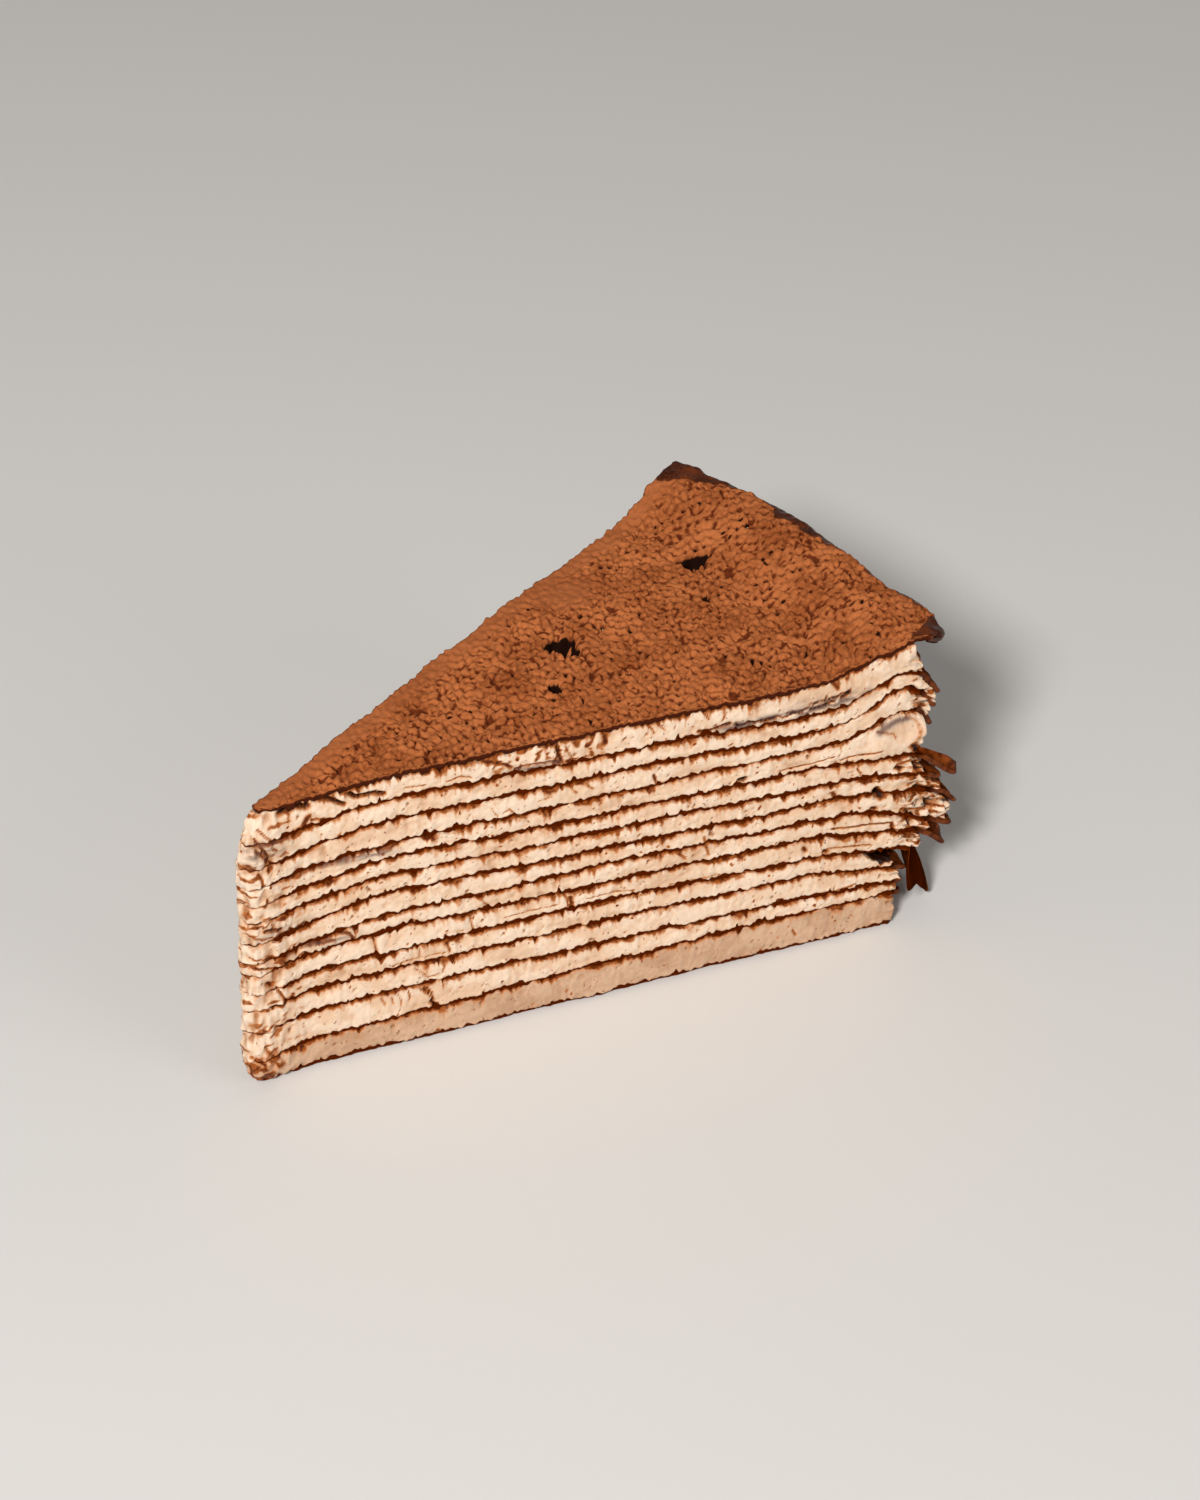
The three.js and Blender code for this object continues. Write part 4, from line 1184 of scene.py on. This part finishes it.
def wrinkled(x, y, series, finer):
    """The sum of the waves of one series, stretched along the grain."""
    along = x * GRAIN[0] + y * GRAIN[1]
    x, y = (place - along * part * (1 - 1 / GRAIN_STRETCH) for place, part in zip((x, y), GRAIN))
    total = np.zeros_like(x)
    for turn, start, number in zip(WAVE_TURN + series, WAVE_START[series], WAVE_NUMBER * finer):
        total += np.cos(number * (x * math.cos(turn) + y * math.sin(turn)) + start)
    return total / math.sqrt(WAVES / 2)


trial = wrinkled(*np.random.default_rng(2).uniform(20, 30, (2, 3000)), 0, 1)
print("waves: from", trial.min().round(2), "to", trial.max().round(2))

# %% [markdown]
# Longer wrinkles come from one sum of waves and dimples and pits from another. Three calm places have
# fewer: a strip along the far edge, a patch and the tip. At the rim the top is bare, in a band whose
# width changes along it, and only softly lumpy.

# %% Relief of the browned top
# The calm patch: its place along and across the slice, half its length, half its width.
PATCH = (64, 14, 5.5, 3.4)


def calm_places(x, y):
    distance, angle = polar(x, y)
    at_x, at_y, long, wide = PATCH
    strip = 1 - ease(distance * (HALF - angle), 1.6, 3.6)
    patch = np.exp(-((((x - at_x) / long) ** 2 + ((y - at_y) / wide) ** 2) ** 2))
    tip = 1 - ease(distance, 4, 10)
    return np.clip(np.maximum.reduce([0.75 * strip, 0.9 * patch, 0.4 * tip]), 0, 1)


def bare_rim(x, y):
    distance, angle = polar(x, y)
    flat = points_at(x, y)
    degrees = np.degrees(angle)
    reach = np.interp(degrees, TOP_RIM[:, 0], TOP_RIM[:, 1])
    wide = 0.7 + 4.7 * ease(angle, HALF * 0.55, HALF) + 3.6 * near_front_corner(angle, 3.4)
    wide = wide + 2.0 * np.exp(-((degrees - 3.5) / 3.2) ** 2)
    uneven = 1.3 * noise(flat, 3.5, 102) + 0.6 * noise(flat, 1.2, 103)
    return 1 - ease(reach - distance + uneven, wide - 0.5, wide + 0.6)


def browned(x, y):
    """Height of the browned relief, and marks for the finish: groove, pit, bare, calm."""
    flat = points_at(x, y)
    warp_x, warp_y = (0.6 * noise(flat, 1.6, seed) for seed in (92, 93))
    folds, dimples = wrinkled(x + warp_x, y + warp_y, 0, 1), wrinkled(x, y, 1, 1.75)
    broken = ease(noise(flat, 1.2, 96), -0.08, 0.22)
    depth_here = mix(0.6, 1, ease(noise(flat, 5, 94), -0.5, 0.2))
    long_groove = (1 - ease(np.abs(folds), 0.15, 0.7)) * broken
    short_groove = (1 - ease(dimples, -1.5, -0.65)) * (1 - 0.5 * broken)
    groove = np.maximum(long_groove, short_groove) * depth_here
    pit = (1 - ease(dimples, -1.65, -1.2)) * ease(noise(flat, 2.2, 95), 0.0, 0.3)
    lumps = 0.2 * noise(flat, 9, 99) + 0.14 * noise(flat, 3.2, 100)
    calm, bare = calm_places(x, y), bare_rim(x, y)
    groove, pit = groove * (1 - calm), pit * (1 - calm)
    grains = 0.14 * np.clip(dimples, -1.2, 1.6) + 0.16 * np.minimum(np.abs(folds), 1.5)
    height = lumps + (1 - 0.8 * calm) * (grains - 0.1) - 0.26 * groove - 0.45 * pit
    height = mix(height, 0.6 * lumps + 0.26 * noise(flat, 1.4, 104), bare)
    return height, {"groove": groove * (1 - bare), "pit": pit * (1 - bare), "bare": bare, "calm": calm}


trial = browned(*np.random.default_rng(2).uniform(20, 30, (2, 3000)))[0]
print("browned relief, mm: from", trial.min().round(2), "to", trial.max().round(2))

# %% [markdown]
# The top crepe's upper face starts with a few rings close together, because the edge is ragged there, and
# goes on as a fine face with points much closer than the wrinkles. The holes go down through it.

# %% The upper face of the top crepe
TOP_SPACING, TOP_INSET = 0.186, 1.5


def top_face(x, y):
    return crepe_faces(TOP, x, y, inside=True)[1] + browned(x, y)[0] - hole_depth(x, y, HOLE_IN_TOP)


def top_marks(x, y):
    marks = browned(x, y)[1]
    # Holes are marked to be painted nearly black inside, as shade.
    marks["pit"] = np.maximum(marks["pit"], ease(hole_depth(x, y, 1), 0.1, 0.6) * 1.5)
    return marks


def browned_top(skin, level, ring, edge):
    """The upper face of the top crepe: rings close together near its edge, then a fine face."""
    for inset in (edge - 0.35, np.minimum(edge - 0.6, -0.6), -1.05, -INNER):
        x, y = level.shifted(mix(inset, np.minimum(inset, -0.2), on_rim))
        following = skin.ring(x, y, top_face(x, y), **top_marks(x, y))
        skin.strip(ring, following)
        ring = following
    fine_face(skin, ring, level, top_face, TOP_SPACING, TOP_INSET, top_marks)


trial = top_face(np.array([56, 62.0]), np.array([4, 4.0]))
print("top face in the middle of a hole and beside it, mm high:", trial.round(1))

# %% [markdown]
# ## Writing materials as sums
#
# A procedural material is a long chain of nodes. Written as Python sums it stays readable: `Wire` wraps
# an output socket, and adding or multiplying wires adds the Math nodes. Everything else, from noise
# to the shader itself, is added by one method.

# %% A small language for materials
class Wire:
    """An output socket that takes part in sums."""

    def __init__(self, finish, socket):
        self.finish, self.socket = finish, socket

    def sum(self, operation, first, second):
        return self.finish.node("ShaderNodeMath", {"operation": operation}, {0: first, 1: second})

    def __add__(self, other):
        return self.sum("ADD", self, other)

    def __sub__(self, other):
        return self.sum("SUBTRACT", self, other)

    def __rsub__(self, other):
        return self.sum("SUBTRACT", other, self)

    def __mul__(self, other):
        return self.sum("MULTIPLY", self, other)

    __radd__, __rmul__ = __add__, __mul__


def colour(value):
    """Screen values from 0 to 255 as the linear colour that a shader wants. A wire stays as it is."""
    if isinstance(value, Wire):
        return value
    screen = np.array(value) / 255
    return (*np.where(screen < 0.04045, screen / 12.92, ((screen + 0.055) / 1.055) ** 2.4), 1.0)


class Finish:
    """A material that is written as Python sums."""

    def __init__(self, name):
        self.material = bpy.data.materials.new(name)
        self.material.use_nodes = True
        self.tree = self.material.node_tree
        self.tree.nodes.clear()

    def node(self, kind, settings, inputs, output=0):
        """Adds a node. settings come first, then the values or links of its sockets."""
        node = self.tree.nodes.new(kind)
        for name, value in settings.items():
            setattr(node, name, value)
        for name, value in inputs.items():
            if isinstance(value, Wire):
                self.tree.links.new(value.socket, node.inputs[name])
            else:
                node.inputs[name].default_value = value
        return Wire(self, node.outputs[output]) if node.outputs else None

    def mark(self, name):
        return self.node("ShaderNodeAttribute", {"attribute_name": name}, {}, "Fac")

    def grain(self, size, detail=2):
        """Noise from 0 to 1 with grains about size mm apart."""
        place = self.node("ShaderNodeNewGeometry", {}, {}, "Position")
        scale = 1 / (size * MM)
        return self.node("ShaderNodeTexNoise", {}, {"Vector": place, "Scale": scale, "Detail": detail}, "Fac")

    def step(self, value, low, high, first=0, last=1):
        """From first at low to last at high, without a kink."""
        return self.node("ShaderNodeMapRange", {"interpolation_type": "SMOOTHSTEP"},
                         {"Value": value, "From Min": low, "From Max": high, "To Min": first, "To Max": last})

    def blend(self, share, a, b):
        """A colour from a to b."""
        return self.node("ShaderNodeMix", {"data_type": "RGBA"}, {0: share, 6: colour(a), 7: colour(b)}, 2)

    def bump(self, size, depth, strength):
        """Relief too fine for the mesh: grains about size mm apart and depth mm deep."""
        return self.node("ShaderNodeBump", {}, {
            "Strength": strength, "Distance": depth * MM, "Height": self.grain(size, 3),
        })

    def shader(self, **inputs):
        names = {name.replace("_", " "): value for name, value in inputs.items()}
        surface = self.node("ShaderNodeBsdfPrincipled", {}, names)
        self.node("ShaderNodeOutputMaterial", {}, {"Surface": surface})
        return self.material


print("mid grey as a linear colour:", [round(float(part), 3) for part in colour((128, 128, 128))])

# %% [markdown]
# ## The finishes
#
# Whipped chocolate cream is a warm beige whose tone varies a little at random. Its rises are painted paler as
# highlight and its dips browner as shade. It is slightly moist, so it has a soft shine, and light goes a
# little way into it. Where the knife rubbed off a crepe there is first a tan halo and then crumbs of crepe.
# The lowest layer of cream is darker.

# %% Cream
# The paler cream colour varies at random and also serves as painted highlight on the rises.
CREAM, CREAM_PALE_AND_HIGHLIGHT = (225, 190, 159), (236, 211, 187)
# The lowest layer of cream is darker than the others.
LOW_CREAM, LOW_CREAM_PALE_AND_HIGHLIGHT = (192, 153, 122), (206, 170, 140)
# The first colour here is painted shade for the dips of the relief.
CREAM_HOLLOW_SHADE, CREAM_HALO = (172, 116, 76), (198, 132, 84)
CRUMB_DARK, CRUMB_LIGHT = (88, 34, 5), (158, 84, 32)
# Specks, grey smears that also paint the swirl's shade, and nearly black for dark crumbs and painted shade.
SPECK, GREY_SMEAR_AND_SHADE, NEARLY_BLACK_AND_SHADE = (110, 58, 28), (106, 80, 72), (34, 11, 4)
DEPTH_OF_LIGHT = (1.0, 0.5, 0.3)


def cream_finish(name, base, pale_and_highlight):
    finish = Finish(name)
    stain, dark, grey_smear_and_shade, hollow_shade = (finish.mark(mark) for mark in ("stain", "dark", "grey_smear_and_shade", "hollow_shade"))
    broad, fine = finish.grain(5), finish.grain(0.6, 3)
    crumbs = finish.blend(finish.step(finish.grain(0.7, 3), 0.35, 0.65), CRUMB_DARK, CRUMB_LIGHT)
    specks = finish.step(finish.grain(0.5, 0), 0.78, 0.82)
    # Paler tone, partly at random and partly painted highlight where the relief rises.
    tone = finish.blend(finish.step(broad + fine * 0.6 - hollow_shade * 1.4, 0.6, 1.0), base, pale_and_highlight)
    # Painted shade: the dips of the relief turn browner.
    tone = finish.blend(finish.step(hollow_shade, 0.05, 0.42), tone, CREAM_HOLLOW_SHADE)
    tone = finish.blend(finish.step(stain + fine * 0.8, 0.48, 1.0), tone, CREAM_HALO)
    tone = finish.blend(finish.step(stain + fine * 0.8, 0.75, 1.3), tone, crumbs)
    tone = finish.blend(specks * 0.7, tone, SPECK)
    # Grey smears, and the painted shade of the swirl's crescent.
    tone = finish.blend(grey_smear_and_shade * 0.9, tone, GREY_SMEAR_AND_SHADE)
    # Nearly black: dark crumbs, and painted shade in pits, holes, the void, the torn corner and hidden faces.
    tone = finish.blend(dark, tone, NEARLY_BLACK_AND_SHADE)
    return finish.shader(
        Base_Color=tone, Roughness=finish.step(fine, 0.3, 0.7, 0.42, 0.6),
        Normal=finish.bump(0.35, 0.12, 0.35), Specular_IOR_Level=0.12,
        Coat_Weight=finish.step(stain + dark, 0.1, 0.6, 0.3, 0), Coat_Roughness=0.3,
        Subsurface_Weight=0.1, Subsurface_Radius=DEPTH_OF_LIGHT, Subsurface_Scale=0.9 * MM,
    )


cream_material = cream_finish("whipped_cream", CREAM, CREAM_PALE_AND_HIGHLIGHT)
low_cream_material = cream_finish("darker_low_cream", LOW_CREAM, LOW_CREAM_PALE_AND_HIGHLIGHT)
print("cream finishes:", cream_material.name, low_cream_material.name)

# %% [markdown]
# The crepes are nearly black-brown where the knife cut them, and a warmer brown with a moist shine at the
# rim. One mark is high in the middle of a cut edge, where the crepe is darkest, and also carries painted
# shade:
# nearly black on faces inside the slice and just behind a cut edge, and darker on torn pieces.

# %% Crepes
# Cut edge colours, and nearly black painted shade for faces inside the slice.
CUT_OUTSIDE, CUT_MIDDLE, INSIDE_SHADE = (138, 64, 16), (77, 25, 1), (16, 5, 1)
# Rim colours, and a darker painted shade for torn pieces.
RIM_DARK, RIM_LIGHT, TORN_CORNER_SHADE = (74, 27, 5), (148, 74, 28), (50, 17, 2)


def crepe_finish():
    finish = Finish("moist_crepe")
    hang, core = finish.mark("hang"), finish.mark("core")
    broad, fine = finish.grain(1.8), finish.grain(0.5, 3)
    cut = finish.blend(finish.step(core + fine * 0.6 - 0.3, 0.1, 0.9), CUT_OUTSIDE, CUT_MIDDLE)
    # Painted shade: nearly black inside the slice and darker just behind a cut edge.
    cut = finish.blend(finish.step(core, 1.1, 1.8), cut, INSIDE_SHADE)
    rim = finish.blend(finish.step(broad + fine * 0.5, 0.55, 0.95), RIM_DARK, RIM_LIGHT)
    # Painted shade on torn pieces and on the curtain near the cut.
    rim = finish.blend(finish.step(core + fine * 0.6, 0.5, 1.2), rim, TORN_CORNER_SHADE)
    return finish.shader(
        Base_Color=finish.blend(finish.step(hang, 0.02, 0.3), cut, rim), Roughness=0.6,
        Normal=finish.bump(0.5, 0.15, 0.5), Specular_IOR_Level=0.0,
        Coat_Weight=finish.step(hang - core * 0.8, 0.2, 1.0, 0, 0.5), Coat_Roughness=0.2,
    )


crepe_material = crepe_finish()
print("crepe finish:", crepe_material.name)

# %% [markdown]
# The browned top is matt and rust-brown, its tone varying at random from darker to paler. Its grooves are
# darker, partly a darker brown of their own and partly painted shade, and its pits and holes are nearly black
# with painted shade. Where it is bare at the rim it is dark and glossy.

# %% The browned top
TOP_DARK, TOP_LIGHT, CALM_BROWN = (144, 75, 34), (188, 110, 62), (176, 101, 58)
# The pit colour is painted shade; the groove and edge colours carry painted shade in part.
GROOVE_BROWN_AND_SHADE, EDGE_BROWN_AND_SHADE, PIT_SHADE = (90, 32, 6), (66, 22, 2), (30, 9, 2)
BARE_DARK, BARE_LIGHT = (52, 17, 2), (112, 52, 18)


def browned_finish():
    finish = Finish("browned_top")
    groove, pit, bare, calm, core = (finish.mark(name) for name in ("groove", "pit", "bare", "calm", "core"))
    broad, fine = finish.grain(6), finish.grain(0.5, 3)
    tone = finish.blend(finish.step(broad + fine * 0.8, 0.55, 1.15), TOP_DARK, TOP_LIGHT)
    tone = finish.blend(calm * 0.7, tone, CALM_BROWN)
    # Grooves: partly their own darker brown, partly painted shade.
    tone = finish.blend(finish.step(groove, 0.2, 0.85) * 0.9, tone, GROOVE_BROWN_AND_SHADE)
    # Darker lower half of the cut edge, with painted shade inside the slice and under torn pieces.
    tone = finish.blend(finish.step(core + fine * 0.9, 0.6, 1.0), tone, EDGE_BROWN_AND_SHADE)
    # Painted shade in pits and holes.
    tone = finish.blend(finish.step(pit, 0.2, 0.6), tone, PIT_SHADE)
    bare_tone = finish.blend(finish.step(broad + fine * 0.5, 0.5, 0.95), BARE_DARK, BARE_LIGHT)
    return finish.shader(
        Base_Color=finish.blend(finish.step(bare, 0.3, 0.7), tone, bare_tone),
        Roughness=finish.step(bare, 0.3, 0.7, 0.85, 0.42), Normal=finish.bump(0.4, 0.18, 0.5),
        Specular_IOR_Level=0.1, Coat_Weight=finish.step(bare, 0.4, 0.9, 0, 0.35), Coat_Roughness=0.2,
    )


browned_material = browned_finish()
print("top finish:", browned_material.name)

# %% [markdown]
# ## Place the layers
#
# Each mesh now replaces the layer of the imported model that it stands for, and rides on the slice.

# %% Make every layer
def add_piece(name, skin, material, node):
    """Adds a piece to the slice and returns how many triangles it has."""
    piece = bpy.data.objects.new(name, skin.mesh(name))
    bpy.context.scene.collection.objects.link(piece)
    piece.data.materials.append(material)
    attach(piece, "root")
    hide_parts(node)
    return len(piece.data.polygons)


total = 0
for k in range(TOP):
    material = low_cream_material if k == 0 else cream_material
    total += add_piece(f"cream_band_{k:02d}", cream_layer(k), material, f"cream_{k:02d}")
for k in range(TOP):
    total += add_piece(f"crepe_sheet_{k:02d}", crepe_layer(k), crepe_material, f"crepe_{k:02d}")
top_skin = crepe_layer(TOP, browned_top)
top_count = add_piece("crepe_sheet_13", top_skin, browned_material, "crepe_13")
print("triangles:", total + top_count, "of which the top crepe", top_count)

# %% [markdown]
# ## Floor, light and camera
#
# The slice stands on a plain pale floor, a hair below it so that the two faces don't flicker. A large soft
# light from the upper left shows the relief of the cut, and a weaker one from the right fills the rim.

# %% Floor
FLOOR_SIZE, FLOOR_GAP = 4, 0.0002
bpy.ops.mesh.primitive_plane_add(size=FLOOR_SIZE, location=(0, 0, -FLOOR_GAP))
floor = bpy.context.object
floor.name = "floor"
floor_finish = Finish("pale_floor")
floor.data.materials.append(floor_finish.shader(Base_Color=colour((225, 224, 222)), Roughness=0.8))
print("floor:", floor.dimensions[:2])

# %% Lights
AIM = Vector((0, 0, 0.02))
WARM = (1, 0.97, 0.93)


def soft_light(name, place, size, power):
    lamp = bpy.data.lights.new(name, "AREA")
    lamp.shape, lamp.size, lamp.energy, lamp.color = "DISK", size, power, WARM
    light = bpy.data.objects.new(name, lamp)
    light.location = place
    light.rotation_euler = (AIM - Vector(place)).to_track_quat("-Z", "Y").to_euler()
    bpy.context.scene.collection.objects.link(light)


soft_light("key", place=(-0.75, -0.5, 0.8), size=0.22, power=13.2)
soft_light("fill", place=(0.35, -0.9, 0.5), size=0.6, power=1.8)
world = bpy.data.worlds.new("studio")
bpy.context.scene.world = world
world.use_nodes = True
sky = world.node_tree.nodes["Background"].inputs
sky["Color"].default_value, sky["Strength"].default_value = (1, 0.97, 0.94, 1), 0.2
bpy.context.scene.view_settings.view_transform = "Standard"

# %% [markdown]
# The camera looks down at the cut face from the left of the slice, through a long lens. Its place comes from
# the corners of the slice in the photograph: how steeply it looks down, how far it is turned from the
# slice's middle line, how far away it is, and how far off centre it aims.

# %% Camera
LOOK_DOWN, TURN, ROLL, DISTANCE = math.radians(37.8), math.radians(39.45), math.radians(2), 499.0
LENS, SENSOR, FOCAL_PIXELS, OFF_X, OFF_Y = 85.0, 36, 3542, -341, 329
right, forward = np.array([1, 0, 0.0]), np.array([0, math.cos(LOOK_DOWN), -math.sin(LOOK_DOWN)])
upward = np.cross(right, forward)
right, upward = (
    math.cos(ROLL) * right + math.sin(ROLL) * upward,
    -math.sin(ROLL) * right + math.cos(ROLL) * upward,
)
stand = -forward * DISTANCE + (-right * OFF_X + upward * OFF_Y) * DISTANCE / FOCAL_PIXELS
turned = Matrix.Rotation(-TURN, 3, "Z")
axes = [turned @ Vector(axis) for axis in (right, upward, -forward)]
place = Matrix.Translation((turned @ Vector(stand) + Vector(APEX)) * MM)
camera = bpy.data.objects.new("camera", bpy.data.cameras.new("camera"))
bpy.context.scene.collection.objects.link(camera)
camera.data.lens, camera.data.sensor_width = LENS, SENSOR
camera.data.clip_start, camera.data.clip_end = 0.01, 20
camera.matrix_world = place @ Matrix([[*row] for row in zip(*axes)]).to_4x4()
bpy.context.scene.camera = camera
print("camera, m:", [round(part, 3) for part in camera.location])
